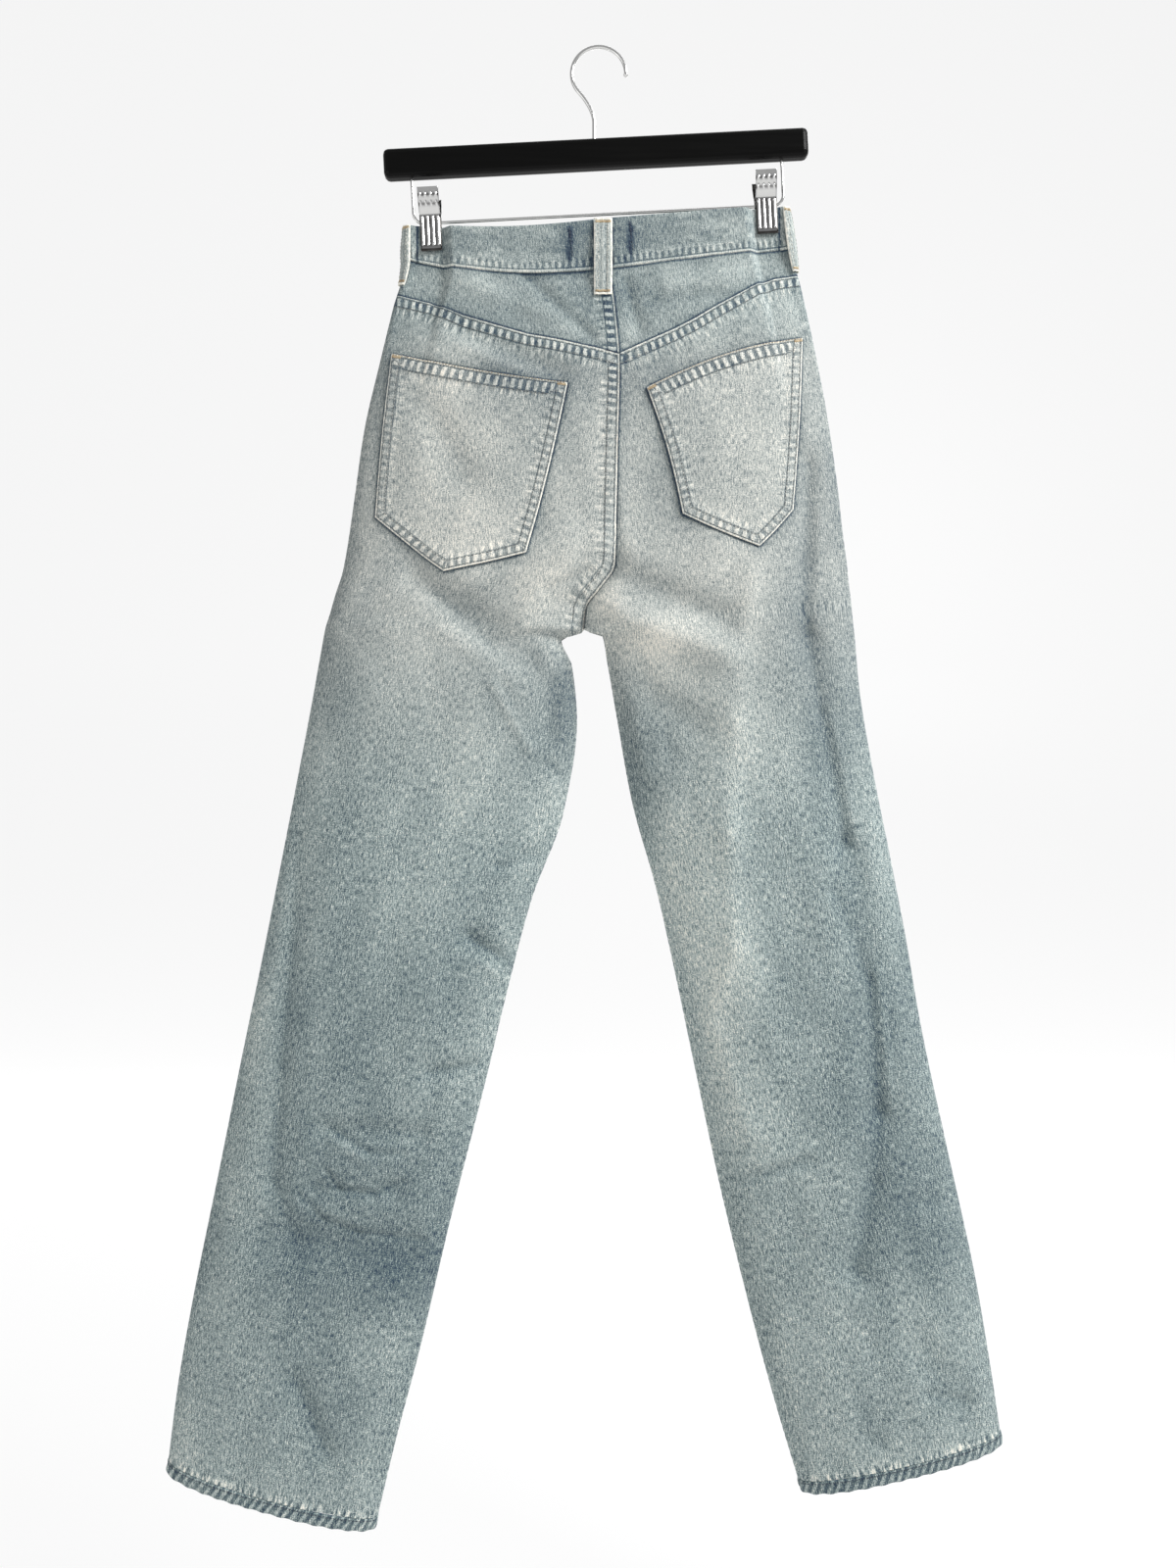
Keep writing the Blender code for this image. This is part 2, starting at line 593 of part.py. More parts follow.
def make_loops():
    """Five belt loops: centre back, one on each side seam, and two on the front."""
    t = np.linspace(0, 1, 9)
    drops = BAND_TOP + 1 + t * (BAND_SEAM - BAND_TOP + LOOP_BELOW_BAND)
    lift = loop_lift(t)

    x = np.linspace(*CENTRE_LOOP, 4)[None, :] + np.zeros((len(t), 1))
    form = seen(BACK, x, -drops[:, None] + 0 * x)
    finish_loop("belt_loop_centre_back", form, grid_normals(form, BACK), lift)

    for side in (LEFT, RIGHT):
        near = 1 - np.linspace(0, 0.4, 60) ** 2
        rows = []
        for h in drops:
            line = np.concatenate([cloth(side, BACK, near[::-1], h), cloth(side, FRONT, near, h)])
            run = np.concatenate([[0], np.cumsum(np.linalg.norm(np.diff(line, axis=0), axis=1))])
            middle = (run[59] + run[60]) / 2
            want = middle + np.linspace(-LOOP_WIDTH / 2, LOOP_WIDTH / 2, 9)
            rows.append(np.stack([np.interp(want, run, line[:, k]) for k in range(3)], axis=-1))
        form = np.array(rows)
        normal = np.cross(np.gradient(form, axis=0), np.gradient(form, axis=1))
        normal /= np.linalg.norm(normal, axis=-1, keepdims=True)
        if np.sum(normal[..., 0]) * side < 0:
            normal = -normal
        finish_loop(f"belt_loop_side_{NAMES[side]}", form, normal, lift)

        width = abs(at_row(side, "x_out", BAND_SEAM) - at_row(side, "x_in", BAND_SEAM))
        share = FRONT_LOOP_SHARE + np.linspace(-0.5, 0.5, 4)[None, :] * LOOP_WIDTH / width
        form = cloth(side, FRONT, share + 0 * drops[:, None], drops[:, None] + 0 * share)
        finish_loop(f"belt_loop_front_{NAMES[side]}", form, grid_normals(form, FRONT), lift)


def make_fly(grid):
    """The fly: a strip beside the centre seam of the left front, with a rounded lower corner."""
    top, low, straight = -BAND_SEAM - 16, -BAND_SEAM - FLY_DROP, 0.62 * FLY_DROP
    seam_top, seam_low = at_row(LEFT, "x_in", BAND_SEAM) - 1, at_row(LEFT, "x_in", -low) - 1
    turn = np.radians(np.linspace(0, 90, 5))
    curve_x = seam_low - FLY_WIDTH * np.cos(turn)
    curve_z = -BAND_SEAM - straight - (FLY_DROP - straight) * np.sin(turn)
    curve = np.stack([curve_x, curve_z], axis=-1)
    outline = np.concatenate([[(seam_top, top), (seam_top - FLY_WIDTH, top)], curve, [(seam_low, low)]])
    laid_on("fly", grid, outline, FRONT, WALL, "denim")


def make_button():
    """A turned button with a raised rim, seated on the overlapping end of the waistband."""
    seat = cloth(RIGHT, FRONT, np.array([0.1, 0.11]), np.full(2, (BAND_TOP + BAND_SEAM) / 2))[0]
    base = seat[1] + BAND_PROUD + BAND_WALL + 2 * SEAM + 0.2
    profile = ((0.45, 0), (0.95, 0.5), (1, 0.8), (0.93, 1), (0.8, 1), (0.66, 0.8))
    sides = 20
    angle = np.arange(sides) * 2 * math.pi / sides
    points = [(seat[0], base, seat[2])]
    for radius, height in profile:
        ring = np.stack(
            [
                seat[0] + BUTTON_RADIUS * radius * np.cos(angle),
                np.full(sides, base + BUTTON_HEIGHT * height),
                seat[2] + BUTTON_RADIUS * radius * np.sin(angle),
            ],
            axis=-1,
        )
        points += ring.tolist()
    points.append((seat[0], base + BUTTON_HEIGHT * profile[-1][1], seat[2]))
    faces = lathe_faces(len(profile), sides)
    add_mesh("button", points, faces, "dark_metal")


def lathe_faces(rings, sides):
    """Faces of a closed turned body: a first pole, rings of points and a last pole."""
    faces = []
    last = 1 + rings * sides
    for k in range(sides):
        n = (k + 1) % sides
        faces.append((0, 1 + n, 1 + k))
        faces.append((last, last - sides + k, last - sides + n))
        for r in range(rings - 1):
            a, b = 1 + r * sides, 1 + (r + 1) * sides
            faces.append((a + k, a + n, b + n, b + k))
    return faces


def tube(name, path, radius, sides, finish):
    """A round wire along a path, with rounded ends."""
    path = np.asarray(path, float)
    run = np.gradient(path, axis=0)
    run /= np.linalg.norm(run, axis=1, keepdims=True)
    flat = np.array([0.0, 1.0, 0.0])
    normal = np.cross(run, flat)
    normal /= np.linalg.norm(normal, axis=1, keepdims=True)
    angle = np.arange(sides) * 2 * math.pi / sides
    size = np.full(len(path), radius)
    size[[0, -1]] *= 0.55
    rings = (
        path[:, None, :]
        + size[:, None, None] * np.cos(angle)[None, :, None] * normal[:, None, :]
        + size[:, None, None] * np.sin(angle)[None, :, None] * flat
    )
    tip = 0.25 * radius
    points = [path[0] - tip * run[0], *rings.reshape(-1, 3), path[-1] + tip * run[-1]]
    return add_mesh(name, points, lathe_faces(len(path), sides), finish)


def on_hanger(u, y, w):
    """A place on the hanger, from its own length u, depth y and height w over the bar's middle."""
    u, w = np.asarray(u, float), np.asarray(w, float)
    x = HANGER_MID[0] + u * math.cos(HANGER_TILT) - w * math.sin(HANGER_TILT)
    z = HANGER_MID[1] + u * math.sin(HANGER_TILT) + w * math.cos(HANGER_TILT)
    return np.stack(np.broadcast_arrays(x, np.asarray(y, float), z), axis=-1)


def bore(name, centre, radius, length, tilt):
    """A hidden cutter that makes a round hole."""
    bpy.ops.mesh.primitive_cylinder_add(vertices=12, radius=radius * MM, depth=length * MM)
    cutter = bpy.context.object
    cutter.name = name
    cutter.location = tuple(np.asarray(centre, float) * MM)
    cutter.rotation_euler = (0, tilt, 0)
    cutter.hide_render = True
    cutter.display_type = "WIRE"
    return cutter


def stem_seat():
    """Where the hook's stem enters the top of the bar."""
    rise = BAR_HEIGHT / 2
    u = (HOOK_STEM_X - HANGER_MID[0] + rise * math.sin(HANGER_TILT)) / math.cos(HANGER_TILT)
    return on_hanger(u, 0, rise)


def make_bar():
    """The wooden bar, rounded at its edges, with holes for the hook's stem and the rod's two ends."""
    bpy.ops.mesh.primitive_cube_add(size=1)
    bar = bpy.context.object
    bar.name = "hanger_bar"
    size = (BAR_LENGTH * MM, BAR_THICK * MM, BAR_HEIGHT * MM)
    bar.data.transform(Matrix.Diagonal((*size, 1)))
    bar.location = (HANGER_MID[0] * MM, 0, HANGER_MID[1] * MM)
    bar.rotation_euler = (0, -HANGER_TILT, 0)
    bar.data.materials.append(material("lacquered_wood"))
    edges = bar.modifiers.new("rounded edges", "BEVEL")
    edges.width = BAR_ROUND * MM
    edges.segments = 3
    cutters = [bore("stem_bore", stem_seat(), HOOK_WIRE + BORE_CLEARANCE, 2 * STEM_DEPTH, 0)]
    for side in (LEFT, RIGHT):
        end = on_hanger(side * ROD_HALF, 0, -BAR_HEIGHT / 2)
        radius = ROD_WIRE + BORE_CLEARANCE
        cutters.append(bore(f"rod_bore_{NAMES[side]}", end, radius, 2 * STEM_DEPTH, -HANGER_TILT))
    for cutter in cutters:
        hole = bar.modifiers.new(cutter.name, "BOOLEAN")
        hole.operation = "DIFFERENCE"
        hole.solver = "EXACT"
        hole.object = cutter


def make_hook():
    """The hook: a stem out of the bar, a curve to the left, and most of a circle that ends on the right."""
    radius = HOOK_RADIUS + HOOK_WIRE
    centre = -HOOK_RADIUS
    bar_top = stem_seat()[2]
    stem = [(HOOK_STEM_X, bar_top - STEM_DEPTH + SEAM + 0.4), (HOOK_STEM_X, bar_top + 6), (HOOK_STEM_X, -62)]
    join = math.radians(222)
    t = np.linspace(0, 1, 7)[1:-1]
    start = np.array([HOOK_STEM_X, -62.0])
    end = np.array([radius * math.cos(join), centre + radius * math.sin(join)])
    pull = 28.0
    leave, arrive = np.array([0, pull]), pull * np.array([math.sin(join), -math.cos(join)])
    curve = (
        np.outer(2 * t**3 - 3 * t**2 + 1, start) + np.outer(t**3 - 2 * t**2 + t, leave)
        + np.outer(3 * t**2 - 2 * t**3, end) + np.outer(t**3 - t**2, arrive)
    )
    angle = np.linspace(join, math.radians(-8), 22)
    arc = np.stack([radius * np.cos(angle), centre + radius * np.sin(angle)], axis=-1)
    path = np.concatenate([stem, curve, arc])
    tube("hanger_hook", np.insert(path, 1, 0, axis=1), HOOK_WIRE, 10, "chrome")


def make_rod():
    """The clip rod: a wire out of the bar at each end, bent in to run straight below it."""
    bend = np.radians(np.linspace(180, 270, 6))
    corner = (-ROD_HALF + ROD_BEND, -ROD_DROP + ROD_BEND)
    left = [(-ROD_HALF, -BAR_HEIGHT / 2 + STEM_DEPTH - 1), (-ROD_HALF, -BAR_HEIGHT / 2 - 6)]
    left += [(corner[0] + ROD_BEND * math.cos(a), corner[1] + ROD_BEND * math.sin(a)) for a in bend]
    left.append((-ROD_HALF / 3, -ROD_DROP))
    path = np.array(left + [(-u, w) for u, w in reversed(left)])
    tube("hanger_rod", on_hanger(path[:, 0], 0, path[:, 1]), ROD_WIRE, 8, "chrome")


def make_clips():
    """Two spring clips: a jaw on the back and on the front of the waistband, and a spring round the rod."""
    section = np.array(JAW_SECTION)
    angle = np.arange(12) * math.pi / 6
    for side in (LEFT, RIGHT):
        u = CLIP_PLACES[side] + np.array([-0.5, 0, 0.5]) * CLIP_WIDTH
        for face, name in ((BACK, "outer"), (FRONT, "inner")):
            w = np.tile(section[:, :1] - ROD_DROP, (1, 3))
            inner = on_hanger(u[None, :] + 0 * w, face * section[:, 1:], w)
            outer = on_hanger(u[None, :] + 0 * w, face * (section[:, 1:] + CLIP_WALL), w)
            shell(f"clip_{NAMES[side]}_{name}_jaw", outer, inner, "chrome")
        along = CLIP_PLACES[side] + np.array([-0.5, 0.5])[:, None] * SPRING_LENGTH + 0 * angle
        around = [
            on_hanger(along, r * np.sin(angle), r * np.cos(angle) - ROD_DROP)
            for r in (SPRING_RADIUS, ROD_WIRE + SEAM)
        ]
        shell(f"clip_{NAMES[side]}_spring", *around, "chrome", wrap=True)


def main():
    for old in list(bpy.data.objects):
        bpy.data.objects.remove(old, do_unlink=True)
    for side in (LEFT, RIGHT):
        make_back(side)
        make_front(side)
        make_hem(side)
    make_band()
    make_loops()
    make_button()
    make_bar()
    make_hook()
    make_rod()
    make_clips()
    for made in bpy.data.objects:
        if made.type == "MESH" and not made.hide_render:
            print(made.name, len(made.data.polygons), "faces")


main()
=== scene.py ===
# %% [markdown]
# # Straight jeans on a clip hanger
# A pair of light stone-washed jeans hangs by its waistband from a hanger and shows its back. The packed
# model already holds every piece as a plain rigid solid in one frame. This lesson dresses it: each piece of
# cloth becomes a thin closed skin with creases, seams and stitches, each hanger part but the bar gets its
# fine shape, and every surface gets a procedural finish. Lengths in the tables are millimetres, in the frame
# of the packed model.

# %% Load the packed model
import math

import bpy
import numpy as np
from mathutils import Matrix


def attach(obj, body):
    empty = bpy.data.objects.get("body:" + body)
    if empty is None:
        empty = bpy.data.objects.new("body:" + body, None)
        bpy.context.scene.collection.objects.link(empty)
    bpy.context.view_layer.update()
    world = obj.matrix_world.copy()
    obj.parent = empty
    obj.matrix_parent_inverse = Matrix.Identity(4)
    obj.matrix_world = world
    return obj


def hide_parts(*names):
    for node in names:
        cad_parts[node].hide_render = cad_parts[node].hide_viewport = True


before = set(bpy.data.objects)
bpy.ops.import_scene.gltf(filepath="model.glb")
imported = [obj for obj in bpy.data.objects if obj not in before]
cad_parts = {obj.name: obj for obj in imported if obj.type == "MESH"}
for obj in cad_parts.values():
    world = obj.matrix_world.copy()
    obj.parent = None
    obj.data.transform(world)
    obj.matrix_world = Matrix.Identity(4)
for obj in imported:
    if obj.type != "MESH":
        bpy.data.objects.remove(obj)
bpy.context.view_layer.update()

MM = 0.001
LEFT, RIGHT = -1, 1
BACK, FRONT = -1, 1
SIDES = (LEFT, RIGHT)
NAMES = {LEFT: "left", RIGHT: "right"}
print("the packed model has", len(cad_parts), "pieces")

# %% [markdown]
# ## Camera, floor and light
# The jeans were seen straight on from about a metre away, from the height of the thighs. A lens of 28 mm on
# a 36 mm frame gives that view. The backdrop is a sweep: a floor that turns up into a wall far behind, so
# that no horizon line crosses the picture.

# %% Camera and backdrop
SCENE = bpy.context.scene
EYE = (-0.009, -1.0225, -0.6135)
FLOOR_Z = -1.36
SWEEP_RADIUS = 1.2
WALL_Y, WALL_HEIGHT = 3.2, 5
FLOOR_REACH = 6


def link(name, data):
    made = bpy.data.objects.new(name, data)
    SCENE.collection.objects.link(made)
    return made


def stacked(*parts):
    """Arrays of one shape, side by side along a new last axis."""
    return np.stack(parts, axis=-1)


def quads_of(grid):
    """The faces of a grid of point numbers: four neighbours each."""
    return stacked(grid[:-1, :-1], grid[1:, :-1], grid[1:, 1:], grid[:-1, 1:]).reshape(-1, 4)


camera = link("camera", bpy.data.cameras.new("camera"))
camera.data.lens = 28.125
camera.data.sensor_width = 36
camera.location = EYE
camera.rotation_euler = (math.pi / 2, 0, 0)
SCENE.camera = camera


def sweep():
    """The backdrop's two parameters are x and the run of a profile: floor, quarter circle, wall."""
    turn = np.linspace(-math.pi / 2, 0, 24)
    y = np.concatenate([[-FLOOR_REACH], WALL_Y - SWEEP_RADIUS + SWEEP_RADIUS * np.cos(turn), [WALL_Y]])
    z = np.concatenate([[0], SWEEP_RADIUS + SWEEP_RADIUS * np.sin(turn), [WALL_HEIGHT]]) + FLOOR_Z
    x = np.linspace(-FLOOR_REACH, FLOOR_REACH, 5)
    points = stacked(x[None, :] + 0 * y[:, None], y[:, None] + 0 * x, z[:, None] + 0 * x)
    index = np.arange(points[..., 0].size).reshape(points.shape[:2])
    faces = quads_of(index)[:, [0, 3, 2, 1]]
    mesh = bpy.data.meshes.new("backdrop")
    mesh.from_pydata(points.reshape(-1, 3), [], faces)
    mesh.shade_smooth()
    return link("backdrop", mesh)


backdrop = sweep()
print("camera at", EYE, "and a backdrop of", len(backdrop.data.polygons), "faces")

# %% [markdown]
# ### Lights
# A soft light from the upper right, about as far forward as the camera, gives the folds their shade. A weak
# one from the left opens the shadows, and one behind lights the rim of the cloth. The world's even glow
# does the rest.


# %% Lights
def soft_light(name, place, aim, size, power):
    """A square area light at place that faces aim."""
    lamp = bpy.data.lights.new(name, "AREA")
    lamp.size = size
    lamp.energy = power
    made = link(name, lamp)
    way = np.array(aim) - np.array(place)
    made.location = place
    made.rotation_euler = (math.atan2(np.hypot(way[0], way[1]), -way[2]), 0, math.atan2(-way[0], way[1]))
    return made


CENTRE = (0.0, 0.0, -0.6)
soft_light("key", (1.7, -0.95, 1.0), CENTRE, 1.0, 80)
soft_light("fill", (-1.8, -1.6, -0.3), CENTRE, 1.6, 7)
soft_light("back_light", (0.6, 2.0, 1.0), CENTRE, 1.5, 18)

SCENE.view_settings.view_transform = "Standard"
world = SCENE.world or bpy.data.worlds.new("studio")
SCENE.world = world
world.use_nodes = True
world.node_tree.nodes["Background"].inputs["Color"].default_value = (0.985, 0.99, 1.0, 1)
world.node_tree.nodes["Background"].inputs["Strength"].default_value = 0.46
print("lights:", [light.name for light in bpy.data.lights])

# %% [markdown]
# ## The form of the cloth
# The garment is one form, worked out from rows of measures that a maker could take with a tape. Each row
# joins a point of the inner edge (the centre seam above the crotch, the inseam below it) to a point of the
# side seam. A point of the cloth is named by its share s across the row, from 0 to 1, and its drop h below
# the hook. The solids of the packed model were made from the same rows, so a skin made here lies on its
# solid.

# %% Rows of the rise and of the legs
# square rounds the section to the side seam, parted closes the legs, sag and dip lower the cloth between the
# clips, and grip is how flat the clips press the row
RISE_COLUMNS = (
    "x_mid", "z_mid", "x_left", "z_left", "x_right", "z_right",
    "depth", "square", "parted", "sag", "dip", "grip",
)
RISE = (
    (3.5, -145, -161, -148, 157, -132.5, 8, 7, 0, 5, 12, 1),
    (9, -187, -161, -177, 161, -168, 9, 6, 0, 8, 12, 1),
    (14, -228, -171.5, -216, 169.5, -203, 13, 4, 0, 4, 9, 0.5),
    (17, -269, -181.5, -257, 179.5, -248, 17, 3.2, 0, 1, 6, 0.2),
    (15.5, -333, -196, -320, 190.5, -306, 22, 2.8, 0, 0, 2, 0),
    (14, -389, -204, -376, 199, -364, 25, 2.6, 0.06, 0, 0, 0),
    (13, -433, -210, -417, 204, -408, 26, 2.6, 0.25, 0, 0, 0),
    (0, -453, -214, -438, 207, -430, 26, 2.6, 0.5, 0, 0, 0),
    (-11, -468, -219.5, -455, 208.5, -446, 26, 2.6, 0.78, 0, 0, 0),
    (-13, -486, -224, -471, 210.5, -462, 26, 2.5, 1, 0, 0, 0),
)
LEG_COLUMNS = ("x_in", "z_in", "x_out", "z_out", "depth")
LEG = {
    LEFT: (
        (-31, -493, -228, -484, 27),
        (-22, -516, -231, -500, 27),
        (-18, -561, -238.5, -542, 28),
        (-29, -636, -252, -613, 28),
        (-56, -710, -266, -685, 27),
        (-76, -785, -280, -756, 26),
        (-94, -860, -295, -828, 25),
        (-122.5, -972, -316.5, -935, 24),
        (-149, -1084, -338.5, -1043, 23),
        (-169, -1160, -351, -1115, 22),
        (-186.5, -1233.5, -360, -1186, 21),
    ),
    RIGHT: (
        (2, -488, 211.5, -474, 27),
        (7, -513, 213.5, -492, 27),
        (14.5, -556, 217, -532, 28),
        (27.5, -628, 228.5, -602, 28),
        (47.5, -700, 242.5, -672, 27),
        (63.5, -771, 256, -742, 26),
        (78.5, -843, 268, -812, 25),
        (101.5, -951, 290.5, -917, 24),
        (128, -1059, 313.5, -1022, 23),
        (147.5, -1131, 325.5, -1092, 22),
        (169, -1202.5, 336, -1162, 21),
    ),
}
YOKE = {
    LEFT: (
        (-175, -205), (-140, -214.5), (-113, -226.5), (-86, -235), (-59, -243),
        (-33, -248), (0, -255.5), (15, -260),
    ),
    RIGHT: (
        (16, -260), (40, -249), (60, -240), (77.5, -231), (95.5, -220),
        (114.5, -209.5), (131, -200), (146, -194), (170, -190),
    ),
}
SEAM = 0.3
WALL = 1.2
GRIP_SHARE, GRIP_HALF, GRIP_FADE, GRIP_DEPTH = 0.88, 0.065, 0.118, 1.75
BAND_TOP, BAND_SEAM, CROTCH = -RISE[0][1], -RISE[1][1], -RISE[-1][1]
HEM_HEIGHT = 11.0
print(len(RISE), "rows of the rise and", [len(LEG[side]) for side in SIDES], "rows of the legs")

# %% [markdown]
# ### Large folds
# The folds that change the outline or throw a shadow are part of the form. Each is a line on the cloth with
# a width and a height, so a fold can be moved by its two ends.

# %% Folds
# Each fold is a line from one end to the other, half its width, and its height, below 0 for a trough
BACK_FOLDS = (
    (-111, -241, -33, -275, 10, -2.5), (-144, -301, -110, -363, 16, -3),
    (-148, -441, -57, -513, 14, -5.5), (-124, -446, -4, -417, 20, 4.5),
    (15, -441, 101, -479, 13, -4.5), (-2, -470, 101, -508, 14, 6),
    (15, -520, 77, -566, 16, -4), (-37, -534, -38, -570, 12, -5),
    (173, -350, 170, -494, 14, -3), (170, -494, 202, -661, 14, -3.5),
    (202, -661, 230, -883, 16, -3.5), (230, -883, 211, -1012, 16, -3),
    (125, -446, 106, -653, 32, 3.5), (106, -653, 125, -902, 30, 3),
    (-248, -653, -268, -941, 16, -3), (-105, -740, -71, -763, 11, -4),
    (-138, -850, -100, -845, 11, -3), (-223, -895, -147, -900, 10, -3),
    (-230, -945, -170, -946, 10, -3), (-262, -985, -138, -1001, 24, -5),
    (-248, -1103, -225, -1161, 14, -3), (262, -1075, 300, -1125, 16, -3),
)
FRONT_FOLDS = (
    (-190, -430, -70, -470, 15, -4), (-180, -400, -60, -430, 18, 3.5),
    (185, -425, 60, -465, 15, -4.5), (178, -390, 70, -420, 17, 3.5),
    (-150, -520, -165, -700, 30, 3.5), (140, -520, 150, -690, 30, 3.5),
    (-262, -900, -160, -925, 12, -3.5), (250, -880, 140, -905, 12, -3.5),
    (-285, -1000, -190, -1010, 20, -4), (275, -990, 170, -1005, 20, -4),
)
FOLDS = {BACK: BACK_FOLDS, FRONT: FRONT_FOLDS}
print(len(BACK_FOLDS), "folds on the back and", len(FRONT_FOLDS), "on the front")

# %% [markdown]
# ### Reading the rows
# A measure between two rows comes from a smooth curve through all of them. The curve never overshoots a
# row, so the cloth doesn't bulge where the table doesn't say so.


# %% Reading the rows
def through(knots, values, at):
    """A smooth curve through the rows that never overshoots them: cubic, with harmonic-mean slopes."""
    knots, values = np.asarray(knots, float), np.asarray(values, float)
    at = np.clip(np.asarray(at, float), knots[0], knots[-1])
    step = np.diff(knots)
    slope = np.diff(values) / step
    rising = slope[1:] * slope[:-1] > 0
    total = np.where(rising, slope[1:] + slope[:-1], 1.0)
    middle = np.where(rising, 2 * slope[1:] * slope[:-1] / total, 0.0)
    tangent = np.concatenate([slope[:1], middle, slope[-1:]])
    i = np.clip(np.searchsorted(knots, at, side="right") - 1, 0, len(step) - 1)
    t = (at - knots[i]) / step[i]
    start = (1 + 2 * t) * (1 - t) ** 2 * values[i] + t * (1 - t) ** 2 * step[i] * tangent[i]
    end = t * t * (3 - 2 * t) * values[i + 1] - t * t * (1 - t) * step[i] * tangent[i + 1]
    return start + end


def stations(side):
    """The rows of one side as columns: rise rows first, then leg rows."""
    rise = {name: [row[k] for row in RISE] for k, name in enumerate(RISE_COLUMNS)}
    leg = {name: [row[k] for row in LEG[side]] for k, name in enumerate(LEG_COLUMNS)}
    none = [0.0] * len(LEG[side])
    outer = NAMES[side]
    sag = rise["sag"] if side == LEFT else [0.0] * len(RISE)
    return {
        "h": [-z for z in rise["z_mid"] + leg["z_in"]],
        "x_in": rise["x_mid"] + leg["x_in"],
        "z_in": rise["z_mid"] + leg["z_in"],
        "x_out": rise["x_" + outer] + leg["x_out"],
        "z_out": rise["z_" + outer] + leg["z_out"],
        "depth": rise["depth"] + leg["depth"],
        "square": rise["square"] + [rise["square"][-1]] * len(none),
        "parted": rise["parted"] + [1.0] * len(none),
        "sag": sag + none,
        "dip": rise["dip"] + none,
        "grip": rise["grip"] + none,
    }


STATIONS = {side: stations(side) for side in SIDES}
HEM_END = {side: STATIONS[side]["h"][-1] for side in SIDES}


def at_row(side, column, h):
    return through(STATIONS[side]["h"], STATIONS[side][column], h)


def step_up(t):
    """0 below 0, 1 above 1, and a smooth rise between."""
    t = np.clip(t, 0, 1)
    return t * t * (3 - 2 * t)


def bell(value, at, width):
    """1 at one value, and falling off on both sides of it: exp(-((value - at) / width)^2)."""
    return np.exp(-(((value - at) / width) ** 2))


print("the legs end at", HEM_END, "mm below the hook")

# %% [markdown]
# ### From shares and drops to places
# One function gives the place of every point of the cloth. The half depth is rounded to the side seam, flat
# where a clip presses it, and closes at the inseam, where the front and the back of a leg meet.


# %% From shares and drops to places
def half_depth(side, s, h):
    """How far the cloth stands from the middle plane: rounded to the side seam, and closed at the inseam."""
    parted = at_row(side, "parted", h)
    power = at_row(side, "square", h)
    crown = 0.5 * parted
    out = np.clip((s - crown) / (1 - crown), 0, 1)
    inward = np.clip((crown - s) / np.maximum(crown, 1e-6), 0, 1)
    to_side = np.sqrt(np.maximum(1 - out**power, 0))
    to_seam = 1 - parted * (1 - np.maximum(1 - inward**power, 0) ** (1 - 0.5 * parted))
    depth = at_row(side, "depth", h) * np.where(s >= crown, to_side, to_seam)
    away = np.abs(s - GRIP_SHARE)
    pressed = at_row(side, "grip", h) * (1 - step_up((away - GRIP_HALF) / (GRIP_FADE - GRIP_HALF)))
    return depth * (1 - pressed) + GRIP_DEPTH * pressed


def rows_of(table, x, z, narrow=1.0):
    """The sum of a table's folds at a place: a rounded ridge or trough along each line."""
    height = np.zeros(np.shape(x))
    for x0, z0, x1, z1, width, rise in table:
        dx, dz = x1 - x0, z1 - z0
        along = np.clip(((x - x0) * dx + (z - z0) * dz) / (dx * dx + dz * dz), 0, 1)
        away = np.hypot(x - x0 - along * dx, z - z0 - along * dz)
        height = height + rise * bell(away, 0, width * narrow)
    return height


def cloth(side, face, s, h):
    """The outer surface of the cloth as x, y, z: the row's line, moved out by its depth and its folds."""
    s, h = np.broadcast_arrays(np.asarray(s, float), np.asarray(h, float))
    x_in, x_out = at_row(side, "x_in", h), at_row(side, "x_out", h)
    z_in, z_out = at_row(side, "z_in", h), at_row(side, "z_out", h)
    parted = at_row(side, "parted", h)
    x = x_in + (x_out - x_in) * s + side * SEAM / 2 * (1 - s)
    z = z_in + (z_out - z_in) * s - at_row(side, "sag", h) * np.sin(math.pi * s)
    if face == FRONT:
        z = z - at_row(side, "dip", h) * np.cos(math.pi / 2 * s) ** 2
    held = step_up((1 - s) / 0.16) * (1 - parted * (1 - step_up(s / 0.16)))
    y = SEAM / 2 + half_depth(side, s, h) + held * rows_of(FOLDS[face], x, z)
    return stacked(x, face * y, z)


GUESSES = 40
CORRECTION = 0.8


def place(side, face, x, z):
    """The share s and drop h of the point that is seen at x, z: a guess, corrected GUESSES times."""
    x, z = np.broadcast_arrays(np.asarray(x, float), np.asarray(z, float))
    h = -z
    s = np.full(x.shape, 0.5)
    for _ in range(GUESSES):
        x_in, x_out = at_row(side, "x_in", h), at_row(side, "x_out", h)
        s = (x - x_in) / (x_out - x_in)
        h = h + CORRECTION * (cloth(side, face, s, h)[..., 2] - z)
    return s, h


def row_width(side, h):
    over = at_row(side, "x_out", h) - at_row(side, "x_in", h)
    down = at_row(side, "z_out", h) - at_row(side, "z_in", h)
    return np.hypot(over, down)


print("the left thigh is", round(float(row_width(LEFT, 560))), "mm wide")
